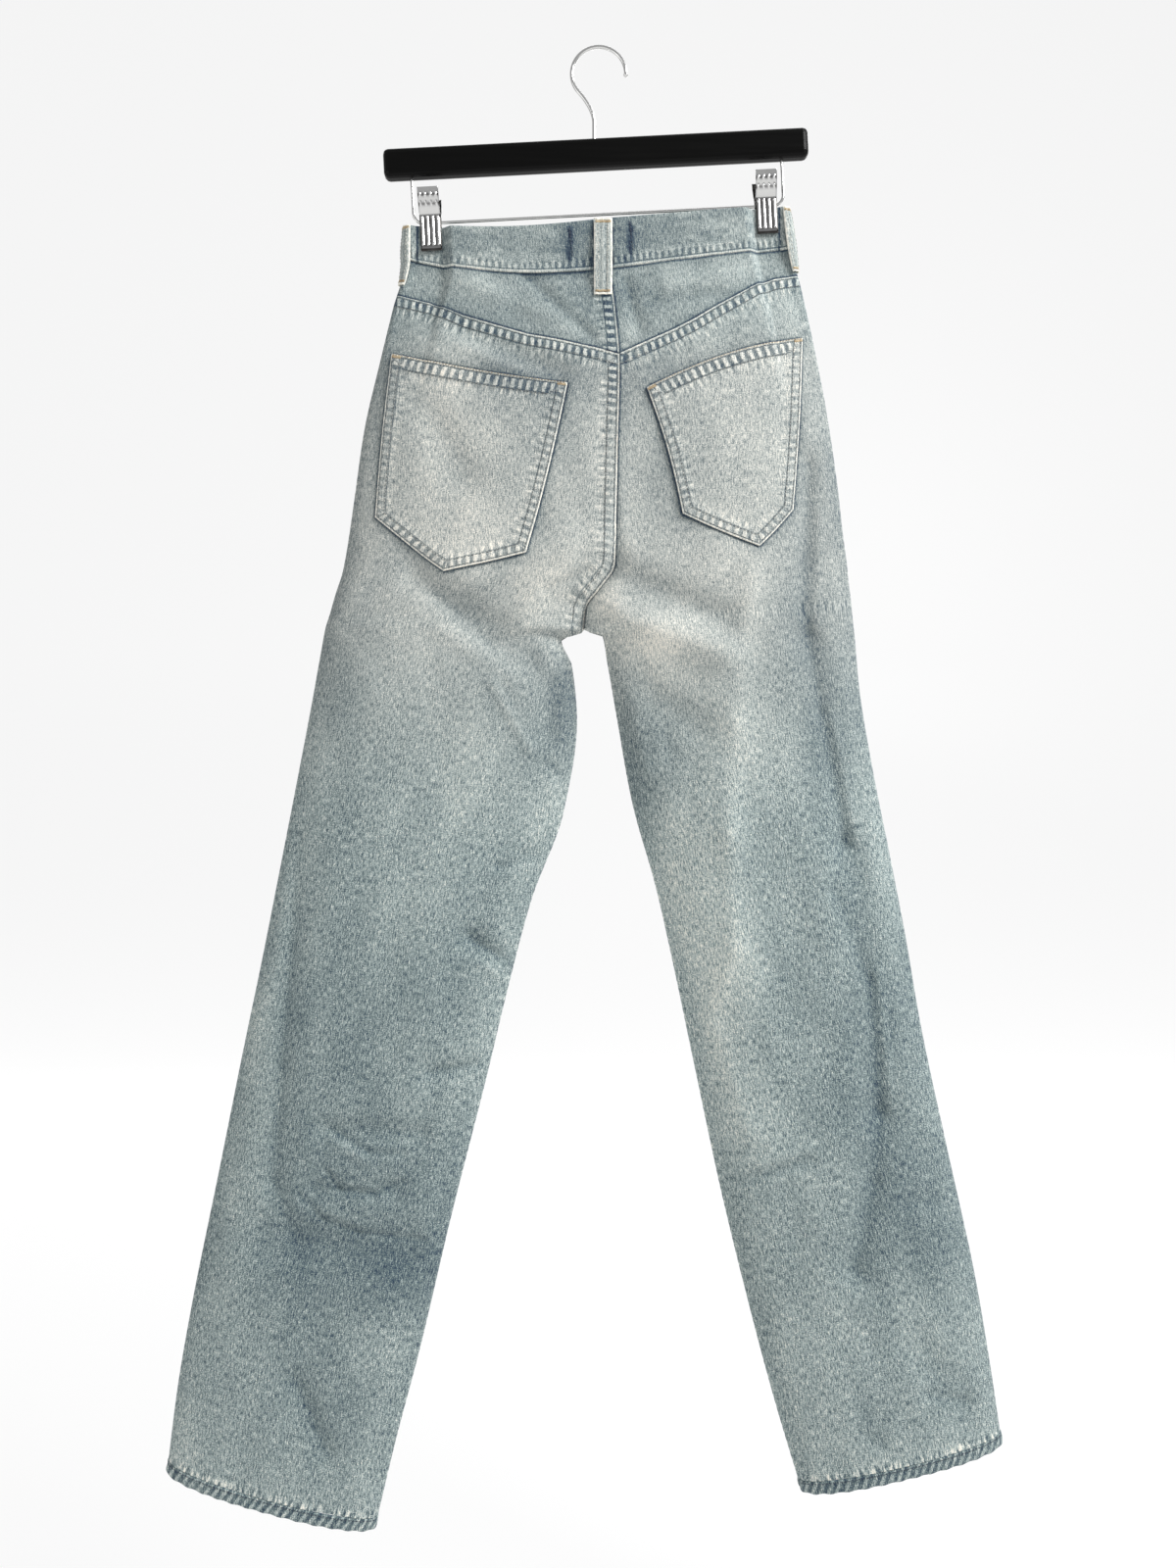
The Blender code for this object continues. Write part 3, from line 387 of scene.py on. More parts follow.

# %% [markdown]
# ## Creases, slackness, wear and painted shade
# The solids have the largest folds only. Real denim also has fine creases, slow swellings along the leg,
# and a crumpled skin. The creases are listed, one row each. The swellings and the crumple are
# smooth random heights on a lattice, with a fixed seed, so each run is the same. Stone-washing rubs what
# stands out, so the same creases also drive the tone that the finish reads: paler ridges from the rubbing,
# and darker hollows, partly dye left there and partly painted shade.

# %% Fine creases
BACK_CREASES = (
    (-114, -253, -41, -285, 5, 1.0), (-137, -454, -89, -498, 6, -1.6),
    (-129, -486, -73, -526, 8, 1.2), (-42, -456, -9, -441, 5, -1.6),
    (29, -566, 39, -604, 7, 1.5), (55, -574, 61, -588, 9, -1.4),
    (-86, -532, -57, -585, 5, 1.6), (-41, -598, -33, -607, 6, -1.2),
    (-62, -671, -38, -661, 5, -1.4), (-62, -195, -11, -192, 4, -1.6),
    (-53, -199, -6, -246, 6, -2.0), (-110, -198, -44, -226, 8, 1.3),
    (22, -200, 34, -240, 6, -1.5), (58, -202, 112, -194, 8, 1.2),
    (44, -216, 98, -208, 6, -1.1), (173, -350, 168, -470, 5, -1.2),
    (168, -470, 182, -556, 5, -1.3), (182, -556, 202, -661, 5, -1.2),
    (202, -661, 192, -701, 6, -1.4), (192, -701, 221, -773, 6, -1.2),
    (221, -773, 230, -883, 5, -1.2), (230, -883, 225, -940, 6, -1.1),
    (225, -940, 211, -1012, 6, -1.2), (182, -390, 178, -486, 4, 0.9),
    (192, -562, 211, -661, 4, 1.0), (229, -769, 240, -881, 4, 1.0),
    (125, -446, 111, -566, 9, 1.0), (111, -566, 106, -653, 9, 1.1),
    (106, -653, 111, -749, 8, 1.0), (111, -749, 91, -811, 8, 1.1),
    (91, -811, 125, -902, 8, 1.0), (111, -940, 173, -921, 5, -1.6),
    (112, -929, 171, -910, 5, 1.0), (254, -955, 278, -956, 8, -1.3),
    (208, -1009, 216, -1017, 9, -1.3), (269, -1113, 302, -1122, 5, -1.3),
    (219, -1148, 232, -1154, 7, -1.1), (-248, -653, -253, -749, 6, -1.2),
    (-253, -749, -260, -845, 6, -1.3), (-260, -845, -267, -940, 6, -1.2),
    (-267, -940, -248, -988, 7, -1.3), (-81, -682, -52, -673, 4, -1.5),
    (-105, -740, -71, -763, 4, -1.8), (-97, -761, -73, -776, 4, 1.4),
    (-138, -850, -100, -845, 4, -1.6), (-218, -896, -188, -914, 3, -1.5),
    (-188, -914, -160, -916, 3, -1.3), (-218, -904, -190, -921, 4, 0.8),
    (-223, -929, -211, -944, 3, -1.4), (-211, -944, -185, -949, 3, -1.5),
    (-185, -949, -160, -939, 3, -1.3), (-214, -938, -188, -943, 4, 0.8),
    (-245, -949, -225, -969, 3, -1.2), (-225, -969, -196, -981, 3, -1.4),
    (-196, -981, -145, -989, 3, -1.3), (-226, -961, -196, -973, 4, 0.8),
    (-248, -1103, -224, -1161, 6, -1.3), (-172, -1124, -162, -1130, 7, -1.1),
)
print(len(BACK_CREASES), "creases on the back")

# %% [markdown]
# ### The front's creases and the slackness
# The hidden front has fewer creases, in the places where a clipped pair of jeans gives way. Slackness is
# added to both sides: four lattices of random heights, from long swellings to a fine crumple.

# %% Slackness
FRONT_CREASES = (
    (-186, -418, -104, -440, 5, -1.5), (-190, -455, -96, -489, 6, -1.4),
    (182, -412, 98, -446, 5, -1.6), (184, -448, 88, -482, 6, -1.3),
    (-60, -404, -22, -442, 6, -1.2), (58, -410, 30, -446, 6, -1.2),
    (-150, -560, -168, -690, 8, 1.2), (144, -548, 156, -700, 8, 1.2),
    (-250, -884, -172, -902, 5, -1.6), (-262, -938, -190, -948, 5, -1.5),
    (242, -866, 160, -888, 5, -1.6), (256, -922, 186, -930, 5, -1.4),
    (-288, -1060, -230, -1088, 7, -1.2), (270, -1050, 214, -1076, 7, -1.2),
)
CREASES = {BACK: BACK_CREASES, FRONT: FRONT_CREASES}


LATTICE = 64


def lumps(u, v, size, seed):
    """Smooth random heights from -1 to 1: a lattice of seeded values, eased from each one to the next."""
    values = np.random.default_rng(seed).uniform(-1, 1, (LATTICE, LATTICE))
    u, v = np.asarray(u, float) / size[0], np.asarray(v, float) / size[1]
    i, j = np.floor(u).astype(int), np.floor(v).astype(int)
    across, down = step_up(u - i), step_up(v - j)
    i, j, right, below = i % LATTICE, j % LATTICE, (i + 1) % LATTICE, (j + 1) % LATTICE
    top = values[i, j] * (1 - across) + values[right, j] * across
    low = values[i, below] * (1 - across) + values[right, below] * across
    return top * (1 - down) + low * down


def slack(side, face, s, h):
    """The swellings along the leg and the crumple, on lattices that follow the grain of the cloth."""
    across = s * row_width(side, h) + 300 * (side + 2) + 900 * (face + 1)
    slow = 1.1 * lumps(across, h, (38, 95), 11) + 0.55 * lumps(across, h, (19, 44), 12)
    return slow + 0.22 * lumps(across, h, (9, 15), 13) + 0.1 * lumps(across, h, (5, 7), 14)


trial = slack(LEFT, BACK, np.linspace(0, 1, 50)[None, :], np.linspace(CROTCH, 1200, 200)[:, None])
print("slackness on the left leg:", trial.min().round(2), "to", trial.max().round(2), "mm")

# %% [markdown]
# ### Seams as lines
# A seam, an edge or a pocket's outline is a line of places as they are seen face on. Three small functions
# read such lines: how far a place is from one, whether it lies inside one, and where a line of shares and
# drops runs.


# %% Seams as lines
def distance_to(path, x, z):
    """For each place, the distance to the nearest piece of a line and how far along the line that is."""
    path = np.asarray(path, float)
    best = np.full(np.shape(x), 1e9)
    run = np.zeros(np.shape(x))
    gone = 0.0
    for (x0, z0), (x1, z1) in zip(path[:-1], path[1:]):
        dx, dz = x1 - x0, z1 - z0
        size = math.hypot(dx, dz)
        t = np.clip(((x - x0) * dx + (z - z0) * dz) / size**2, 0, 1)
        away = np.hypot(x - x0 - t * dx, z - z0 - t * dz)
        run = np.where(away < best, gone + t * size, run)
        best = np.minimum(best, away)
        gone += size
    return best, run


def inside(path, x, z):
    """True within a closed line: an upright ray from the place crosses it an odd number of times."""
    path = np.asarray(path, float)
    odd = np.zeros(np.shape(x), bool)
    for (x0, z0), (x1, z1) in zip(path, np.roll(path, -1, axis=0)):
        if x0 != x1:
            at = z0 + (x - x0) * (z1 - z0) / (x1 - x0)
            odd ^= ((x0 > x) != (x1 > x)) & (z < at)
    return odd


def seen_line(side, face, s, h):
    """A line of shares and drops as x, z."""
    return cloth(side, face, np.asarray(s, float), np.asarray(h, float))[..., [0, 2]]


def yoke_drop(side, s):
    """The drop at which each share meets the yoke seam."""
    table = sorted(YOKE[side])
    h = np.full(np.shape(s), 230.0)
    for _ in range(60):
        point = cloth(side, BACK, s, h)
        line = np.interp(point[..., 0], [row[0] for row in table], [row[1] for row in table])
        h = h + CORRECTION * (point[..., 2] - line)
    return h


print("the yoke's V ends", round(float(yoke_drop(LEFT, np.zeros(1))[0])), "mm below the hook")

# %% [markdown]
# ## Pocket outlines
# A back pocket has five sides, and none of them is quite straight: the mouth sags on one side and rises on
# the other, and the long edges bow. Each side is a chord between two corners with a sine bow, so one number
# per side gives its curve. The panel needs the outline too, because it lies calm and shaded round the
# pocket.

# %% Pocket outlines
POCKETS = {
    LEFT: {
        "top_out": (-171.5, -257), "top_in": (-25.5, -285), "low_in": (-59, -426),
        "tip": (-126, -440.5), "low_out": (-184, -394),
    },
    RIGHT: {
        "top_out": (168.5, -244), "top_in": (39, -289), "low_in": (68, -393.5),
        "tip": (130.5, -420), "low_out": (159, -388.5),
    },
}
# Bows of the five sides in order: mouth, inner side, inner bottom, outer bottom, outer side
BOWS = {LEFT: (-3.0, 1.5, 0.8, 0.8, 1.0), RIGHT: (5.5, -2.5, 0.8, 0.8, 1.0)}
CORNERS = ("top_out", "top_in", "low_in", "tip", "low_out")


SIDE_POINTS = 24


def bowed(start, end, bow, middle):
    """A chord with a sine bow, out from the middle of the pocket where bow is above 0."""
    start, end = np.array(start, float), np.array(end, float)
    t = np.linspace(0, 1, SIDE_POINTS)
    out = np.array([end[1] - start[1], start[0] - end[0]]) / np.linalg.norm(end - start)
    if np.dot(out, start - middle) < 0:
        out = -out
    return start + t[:, None] * (end - start) + bow * np.sin(math.pi * t)[:, None] * out


def pocket_sides(side):
    """The five bowed sides of a pocket, from the outer top corner round by the mouth."""
    corners = [POCKETS[side][name] for name in CORNERS]
    middle = np.mean(corners, axis=0)
    ends = corners[1:] + corners[:1]
    return [bowed(a, b, bow, middle) for a, b, bow in zip(corners, ends, BOWS[side])]


POCKET_SIDES = {side: pocket_sides(side) for side in SIDES}
POCKET_LINE = {side: np.concatenate([part[:-1] for part in POCKET_SIDES[side]]) for side in SIDES}


def pocket_depth(side, x, z):
    """How far a place lies inside the pocket's outline, below 0 outside it."""
    line = np.concatenate([POCKET_LINE[side], POCKET_LINE[side][:1]])
    away, along = distance_to(line, x, z)
    return np.where(inside(POCKET_LINE[side], x, z), away, -away), along


print("pockets are", [round(float(np.ptp(POCKET_LINE[side][:, 0]))) for side in SIDES], "mm wide")

# %% [markdown]
# ## The dressed surface
# Every skin, stitch and loop needs points and normals of the same surface, so one function gives them. It
# takes the form, finds the normal from two small steps, and moves the point out by the creases, the
# slackness and the seam puckers. Along a seam the cloth is doubled and drawn up by its thread: the felled
# band stands up by half a millimetre and puckers every 7 mm. The finish later colours the same puckers,
# because it uses the same phase.

# %% Puckers
FELL_WIDTH = 10.6
PUCKER_PITCH = 6.8


def pucker_phase(along):
    """The phase of the puckers: an even pitch, pushed to and fro by two slow waves."""
    return along * (2 * math.pi / PUCKER_PITCH) + 1.3 * np.sin(along / 19) + 0.9 * np.sin(along / 43 + 1)


def pucker(across, along, height):
    """Low ridges square to a seam: highest inside the felled band, faded out over the next 10 mm."""
    reach = step_up((across + 0.5) / 2) * (1 - step_up((across - FELL_WIDTH) / 10))
    return height * reach * np.sin(pucker_phase(along))


def seam_relief(across, along):
    """The felled band with its pressed stitch lines, and its puckers."""
    band = 0.55 * (1 - step_up((across - FELL_WIDTH + 1) / 2))
    lines = bell(across, 1.7, 0.9) + bell(across, 9.2, 0.9)
    return band - 0.25 * lines + pucker(across, along, 0.28)


print("the felled band stands up", round(float(seam_relief(5.0, 0.0)), 2), "mm in its middle")

# %% [markdown]
# ### Seam lines of each piece
# Each point of a panel asks for its nearest seam. The answer, across and along, becomes a second map of the
# skin, where the finish draws the ladder, the grooves and the rubbed edge without knowing the piece's
# shape.


# %% Seam lines of each piece
def seam_lines(side, face, top):
    """The seams round a long panel: kind and line. A felled band starts at 0, a plain seam past the band."""
    end = HEM_END[side] - HEM_HEIGHT
    centre = "fell" if (side, face) == (LEFT, BACK) else "plain"
    upper = "fell" if face == BACK else "plain"
    rise, leg = np.linspace(top[0], CROTCH, 30), np.linspace(CROTCH, end, 60)
    outer = np.linspace(top[-1], end, 70)
    s = np.linspace(0, 1, 24)
    return [
        (centre, seen_line(side, face, 0 * rise, rise)),
        ("plain", seen_line(side, face, 0 * leg, leg)),
        ("plain", seen_line(side, face, 0 * outer + 1, outer)),
        ("hem", seen_line(side, face, s, end + 0 * s)),
        (upper, seen_line(side, face, np.linspace(0, 1, len(top)), top)),
    ]


KIND_START = {"fell": 0.0, "plain": 16.0, "hem": FELL_WIDTH + 0.5}
# A distance that means that nothing is near
FAR = 99.0


def seam_map(lines, x, z):
    """Across and along the nearest seam, in mm, for every point of a piece."""
    across = np.full(np.shape(x), FAR)
    along = np.zeros(np.shape(x))
    start = 0.0
    for kind, line in lines:
        away, run = distance_to(line, x, z)
        away = away + KIND_START[kind]
        along = np.where(away < across, start + run, along)
        across = np.minimum(across, away)
        start += 1000.0
    return across, along


print("seams round the left back:", [kind for kind, _ in seam_lines(LEFT, BACK, np.full(2, BAND_SEAM))])

# %% [markdown]
# ### Points and normals
# The relief is everything that stands out from the form: creases and slackness, which fade near a seam and
# under a pocket, and the seam's own band and puckers.


# %% Points and normals
def unit(vectors):
    """The same directions with length 1."""
    return vectors / np.maximum(np.linalg.norm(vectors, axis=-1, keepdims=True), 1e-9)


def normals_at(side, face, s, h):
    """Unit normals of the form from two small steps, one along the row and one down."""
    turn = np.where(s > 0.5, -1.0, 1.0)
    here = cloth(side, face, s, h)
    over = (cloth(side, face, s + 0.004 * turn, h) - here) * turn[..., None]
    down = cloth(side, face, s, h + 0.7) - here
    normal = unit(np.cross(over, down))
    return here, normal * np.where(normal[..., 1:2] * face < 0, -1, 1)


def relief(side, face, s, h, x, z, across, along):
    """How far the dressed cloth stands out from the form."""
    width = row_width(side, h)
    calm = step_up(s * width / 14) * step_up((1 - s) * width / 10)
    calm *= 1 - 0.7 * bell(np.minimum(across, 60), 0, 12)
    height = calm * (rows_of(CREASES[face], x, z) + slack(side, face, s, h))
    if face == BACK:
        depth, _ = pocket_depth(side, x, z)
        height *= 1 - step_up((depth + 3) / 4)
    return height + seam_relief(across, along) * step_up((1 - s) * width / 3)


_, facing = normals_at(LEFT, BACK, np.array([0.5]), np.array([700.0]))
print("the left thigh faces", facing[0].round(2))

# %% [markdown]
# ## Making a skin
# A piece of cloth is a closed skin: an outer grid, an inner grid one wall behind it, and strips that join
# their edges. Blender could do this with Solidify, but a wall worked out here can be rounded at its edges,
# like a real folded edge, and keeps its two maps. The map named weave holds places on the cloth in metres,
# with the warp along v. The map named seam holds the distance across and along the nearest seam in
# millimetres.

# %% Closed skins
PIECES = {}


def rim_paths(grid, wrap):
    """The border of a grid in the direction of its faces: one loop, or two rings where it wraps round."""
    if wrap:
        return [grid[-1, :], grid[0, ::-1]]
    return [np.concatenate([grid[:, 0], grid[-1, 1:], grid[-2::-1, -1], grid[0, -2::-1]])]


def skin_faces(grid, shift, wrap):
    """Quads of both sheets and of the rim, from a grid of numbers and the step to the inner sheet."""
    outer = quads_of(grid)
    rims = [
        stacked(path[1:], path[:-1], path[:-1] + shift, path[1:] + shift)
        for path in rim_paths(grid, wrap)
    ]
    return np.concatenate([outer, outer[:, ::-1] + shift, *rims])


def signed_volume(points, quads):
    a, b, c, d = (points[quads[:, k]] for k in range(4))
    return float(np.sum(a * np.cross(b, c)) + np.sum(a * np.cross(c, d))) / 6


def build(name, points, faces, maps=None, cells=None, tones=None, sharp=48, ends=()):
    """Makes the mesh object: points in mm, faces, maps per corner, tones per point, and end rings to cap."""
    faces = faces.tolist() + [list(ring) for ring in ends[:1]] + [list(ring[::-1]) for ring in ends[1:]]
    if len(faces[0]) == 4 and signed_volume(points, np.array(faces[: len(faces) - len(ends)])) < 0:
        faces = [corners[::-1] for corners in faces]
        cells = None if cells is None else cells[:, ::-1]
    mesh = bpy.data.meshes.new(name)
    mesh.from_pydata(points * MM, [], faces)
    for label, values in (maps or {}).items():
        layer = mesh.uv_layers.new(name=label)
        layer.data.foreach_set("uv", values.reshape(-1, 2)[cells.ravel()].astype(np.float32).ravel())
    for label, values in (tones or {}).items():
        layer = mesh.attributes.new(label, "FLOAT", "POINT")
        layer.data.foreach_set("value", np.asarray(values, np.float32).ravel())
    mesh.shade_smooth()
    mesh.set_sharp_from_angle(angle=math.radians(sharp))
    PIECES[name] = link(name, mesh)
    return PIECES[name]


def skin(name, outer, inner, maps, tones, wrap=False):
    """A closed skin between two grids of points."""
    rows, columns = outer.shape[:2]
    wide = columns + 1 if wrap else columns
    cell = np.arange(rows)[:, None] * wide + np.arange(wide)
    point = np.arange(rows)[:, None] * columns + np.arange(wide) % columns
    faces = skin_faces(point, rows * columns, wrap)
    cells = skin_faces(cell, 0, wrap)
    points = np.concatenate([outer.reshape(-1, 3), inner.reshape(-1, 3)])
    both = {label: np.tile(np.ravel(values), 2) for label, values in tones.items()}
    return build(name, points, faces, maps, cells, both)


def walls(middle, normal, thick, edge):
    """Outer and inner grids of a wall with rounded edges, from the distance to the nearest free edge."""
    t = np.clip(edge / (thick / 2), 0, 1)
    half = thick / 2 * np.maximum(np.sqrt(t * (2 - t)), 0.25)
    return middle + half[..., None] * normal, middle - half[..., None] * normal


def spread(count, low=0.0, high=1.0, ends=0.35):
    """Even steps with two closer ones at each end, where an edge is rounded or a seam is pressed."""
    inner = np.linspace(0, 1, count)
    step = inner[1]
    extra = [step * ends * 0.4, step * ends, 1 - step * ends, 1 - step * ends * 0.4]
    return low + (high - low) * np.sort(np.concatenate([inner, extra]))


def run_along(points):
    """How far along a line of points each one lies, from 0."""
    return np.concatenate([[0], np.cumsum(np.linalg.norm(np.diff(points, axis=0), axis=1))])


def points_at(at, run, points):
    """The places at some distances along a line of points."""
    return np.stack([np.interp(at, run, column) for column in points.T], axis=-1)


print("a closed skin of 3 x 3 points has", len(skin_faces(np.arange(9).reshape(3, 3), 9, False)), "faces")

# %% [markdown]
# ### Wear and painted shade
# Washing left paler and darker places that no rule gives, so the large ones are given as soft ovals.
# Some darker ovals are painted shade, along edges and in hollows. They are the first part of each point's
# tone.

# %% Wear and painted shade
# Each oval: x, z, half width, half height, and how much paler or, below 0, darker: wear and painted shade
WEAR_AND_SHADE = {
    BACK: (
        (-100, -375, 95, 90, 0.03), (95, -360, 85, 90, -0.01),
        (66, -362, 26, 60, -0.05), (185, -358, 28, 60, -0.05),
        (-100, -355, 34, 30, -0.06), (-40, -450, 34, 24, 0.08),
        (45, -492, 40, 22, 0.08), (85, -432, 34, 36, 0.07),
        (8, -465, 14, 20, 0.12), (110, -520, 60, 40, -0.01),
        (46, -524, 28, 30, 0.14), (-140, -520, 40, 60, 0.05),
        (-70, -535, 40, 36, -0.10), (-205, -540, 24, 60, -0.05),
        (-215, -690, 26, 200, -0.04), (-165, -690, 60, 130, -0.07),
        (-185, -800, 70, 60, -0.08), (-120, -880, 40, 90, -0.09),
        (-210, -925, 85, 70, -0.11), (-220, -1010, 90, 40, -0.10),
        (-140, -1000, 36, 60, -0.06), (-250, -1110, 60, 90, -0.12),
        (-190, -1120, 40, 70, -0.06), (-305, -1095, 30, 60, -0.04),
        (-27, -540, 13, 34, -0.10), (-42, -584, 26, 26, -0.13),
        (-62, -653, 30, 60, -0.03), (-98, -704, 30, 56, -0.09),
        (-248, -790, 22, 90, -0.07), (-212, -838, 30, 30, -0.06),
        (-163, -1025, 36, 36, -0.12), (56, -670, 24, 90, 0.09),
        (36, -590, 20, 70, -0.15), (66, -606, 20, 40, -0.05),
        (95, -770, 24, 90, 0.09), (150, -496, 26, 50, -0.08),
        (190, -518, 26, 50, -0.06), (170, -460, 20, 60, -0.06),
        (180, -640, 34, 80, -0.10), (135, -660, 34, 70, -0.04),
        (200, -560, 30, 90, -0.05), (150, -790, 40, 60, -0.06),
        (182, -893, 30, 50, -0.04), (225, -790, 50, 90, -0.10),
        (255, -920, 46, 90, -0.12), (205, -960, 50, 80, -0.07),
        (285, -1000, 40, 70, -0.12), (150, -1000, 30, 70, -0.03),
        (255, -1120, 90, 60, -0.07), (60, -222, 60, 22, -0.05),
        (15, -207, 44, 24, -0.09), (140, -240, 30, 26, -0.08),
        (50, -274, 60, 22, -0.08), (76, -304, 20, 20, -0.05),
        (140, -302, 20, 24, -0.06), (40, -500, 24, 14, 0.10),
        (140, -194, 40, 24, -0.05), (-80, -222, 70, 22, -0.10),
        (-42, -288, 42, 32, -0.17), (-162, -290, 20, 70, -0.09),
        (-40, -330, 26, 26, -0.05), (-86, -268, 16, 20, -0.10),
    ),
    FRONT: (
        (-120, -600, 55, 140, 0.10), (115, -590, 55, 140, 0.10),
        (-200, -900, 60, 70, 0.08), (180, -880, 60, 70, 0.08),
        (0, -430, 70, 40, -0.05), (-260, -1120, 80, 60, -0.06),
        (240, -1100, 80, 60, -0.06),
    ),
}
print(len(WEAR_AND_SHADE[BACK]), "ovals of wear on the back and", len(WEAR_AND_SHADE[FRONT]), "on the front")

# %% [markdown]
# ### The tone of the cloth
# The ovals are added to one even tone. Ridges are rubbed paler, hollows are darker, partly as painted shade,
# and the sides and the inseam get painted shade. Slow clouds break up what is left. A skin carries five such
# values
# at every point: the first is this tone of wear and painted shade, shade is the distance to an edge that
# throws a painted shadow, blue chooses between two colour ramps, drawn is how clear the ladders on the seams
# are, and grain is how strong the weave is.

# %% Tones
BASE_TONE = 0.64


def tones_of(wear, blue, drawn, grain, shade=FAR):
    """The five values that the denim reads, each with one number per point."""
    tones = {"wear": wear, "shade": shade, "blue": blue, "drawn": drawn, "grain": grain}
    return {name: value + 0 * wear for name, value in tones.items()}


def wear_and_shade_at(side, face, s, h, x, z):
    """The tone of the cloth: wear and painted shade in named places, painted shade at the sides and the
    inseam, paler ridges, darker hollows partly as painted shade, and slow clouds.
    """
    tone = np.full(np.shape(x), BASE_TONE)
    for px, pz, rx, rz, amount in WEAR_AND_SHADE[face]:
        tone = tone + amount * np.exp(-(((x - px) / rx) ** 2) - ((z - pz) / rz) ** 2)
    # Ridges and swellings are rubbed paler; their hollows are darker, partly as painted shade.
    tone = tone + 0.007 * rows_of(FOLDS[face], x, z, 0.8) + 0.03 * rows_of(CREASES[face], x, z, 0.8)
    tone = tone + 0.02 * slack(side, face, s, h)
    across = s * row_width(side, h)
    tone = tone + 0.035 * lumps(across + 50 * side, h, (30, 60), 21) + 0.02 * lumps(across, h, (12, 34), 22)
    # Painted shade: darker where the cloth turns away at the side seam, and along the inseam of the legs.
    sides = bell((1 - s) * row_width(side, h), 0, 9)
    legs = step_up((h - CROTCH) / 60)
    inner = bell(s * row_width(side, h), 0, 12) * legs
    return tone - 0.07 * sides - 0.05 * inner


seat = wear_and_shade_at(LEFT, BACK, np.array([0.5]), np.array([500.0]), np.array([-115.0]), np.array([-500.0]))
print("tone under the left pocket:", seat.round(2))

# %% [markdown]
# ## Shader maths in plain Python
# A finish is a formula over the surface, such as tone = wear + grain - groove. Wired by hand it would be a
# hundred nodes, so a small class wraps a socket and lets Python's own signs add the Math nodes.


# %% Values
class Value:
    """A number that changes over a surface: arithmetic on it adds Math nodes."""

    def __init__(self, finish, socket):
        self.finish = finish
        self.socket = socket

    def math(self, operation, *others):
        sockets = dict(enumerate((self, *others)))
        return self.finish.node("ShaderNodeMath", {"operation": operation}, sockets)

    def __add__(self, other):
        return self.math("ADD", other)

    def __mul__(self, other):
        return self.math("MULTIPLY", other)

    def __sub__(self, other):
        return self.math("SUBTRACT", other)

    def __rsub__(self, other):
        return self * -1 + other

    def __truediv__(self, other):
        return self.math("DIVIDE", other)

    __radd__ = __add__
    __rmul__ = __mul__

    def between(self, low, high):
        """0 below low, 1 above high, and a smooth rise between."""
        ends = {"Value": self, "From Min": low, "From Max": high}
        return self.finish.node("ShaderNodeMapRange", {"interpolation_type": "SMOOTHSTEP"}, ends)

    def near(self, at, reach):
        """1 at one level, falling to 0 at reach on both sides of it."""
        return 1 - (self - at).math("ABSOLUTE").between(0.0, reach)

    def sine(self):
        return self.math("SINE")


print("a value knows:", [name for name in vars(Value) if name.isalpha()])

# %% [markdown]
# ### Finishes
# A finish is one material. One method adds any node from its type, its settings and what goes into its
# sockets, and the others are short names for the nodes that are used most.


# %% Finishes
class Finish:
    """One procedural material round a Principled shader."""

    def __init__(self, name, **constants):
        self.material = bpy.data.materials.new(name)
        self.material.use_nodes = True
        self.tree = self.material.node_tree
        self.shader = self.tree.nodes["Principled BSDF"]
        for socket, value in constants.items():
            self.shader.inputs[socket.replace("_", " ")].default_value = value

    def node(self, kind, settings=None, sockets=None, output=0):
        made = self.tree.nodes.new(kind)
        for name, value in (settings or {}).items():
            if name == "stops":
                self.set_stops(made.color_ramp, value)
            else:
                setattr(made, name, value)
        for key, value in (sockets or {}).items():
            if isinstance(value, Value):
                self.tree.links.new(value.socket, made.inputs[key])
            else:
                made.inputs[key].default_value = value
        return Value(self, made.outputs[output])

    def set_stops(self, ramp, stops):
        while len(ramp.elements) < len(stops):
            ramp.elements.new(1.0)
        for element, (at, colour) in zip(ramp.elements, stops):
            element.position = at
            element.color = colour

    def split(self, vector):
        return [self.node("ShaderNodeSeparateXYZ", sockets={0: vector}, output=k) for k in range(3)]

    def join(self, x, y, z=0.0):
        return self.node("ShaderNodeCombineXYZ", sockets={0: x, 1: y, 2: z})

    def noise(self, vector, scale=1.0, detail=2.0, rough=0.55):
        """Noise round 0, from about -0.5 to 0.5."""
        sockets = {"Vector": vector, "Scale": scale, "Detail": detail, "Roughness": rough}
        return self.node("ShaderNodeTexNoise", sockets=sockets) - 0.5

    def blend(self, amount, first, second):
        """A colour between two: the first at 0, the second at 1."""
        sockets = {0: amount, 6: first, 7: second}
        return self.node("ShaderNodeMix", {"data_type": "RGBA"}, sockets, output=2)

    def ramp(self, stops, tone):
        """A colour read off a ramp."""
        return self.node("ShaderNodeValToRGB", {"stops": stops}, {"Fac": tone})

    def attribute(self, name):
        return self.node("ShaderNodeAttribute", {"attribute_name": name}, output="Fac")

    def object_place(self):
        return self.node("ShaderNodeTexCoord", output="Object")

    def feed(self, socket, value):
        self.tree.links.new(value.socket, self.shader.inputs[socket])

    def bump(self, height, distance, strength=1.0):
        sockets = {"Height": height, "Distance": distance, "Strength": strength}
        self.feed("Normal", self.node("ShaderNodeBump", sockets=sockets))


def paint(red, green, blue):
    """A colour of 0 to 255 as seen, turned into the linear light that shaders use."""
    seen = np.array([red, green, blue]) / 255
    light = np.where(seen <= 0.04045, seen / 12.92, ((seen + 0.055) / 1.055) ** 2.4)
    return (*[float(c) for c in light], 1.0)


print("middle grey as light:", round(paint(128, 128, 128)[0], 3))

# %% [markdown]
# ## Washed denim
# Denim is a blue warp over a white weft. Two ramps turn a tone into its colour, from raw indigo in the
# hollows to bare weft on the edges. The first is bluer and suits the legs, the second is greyer and suits
# the seat.

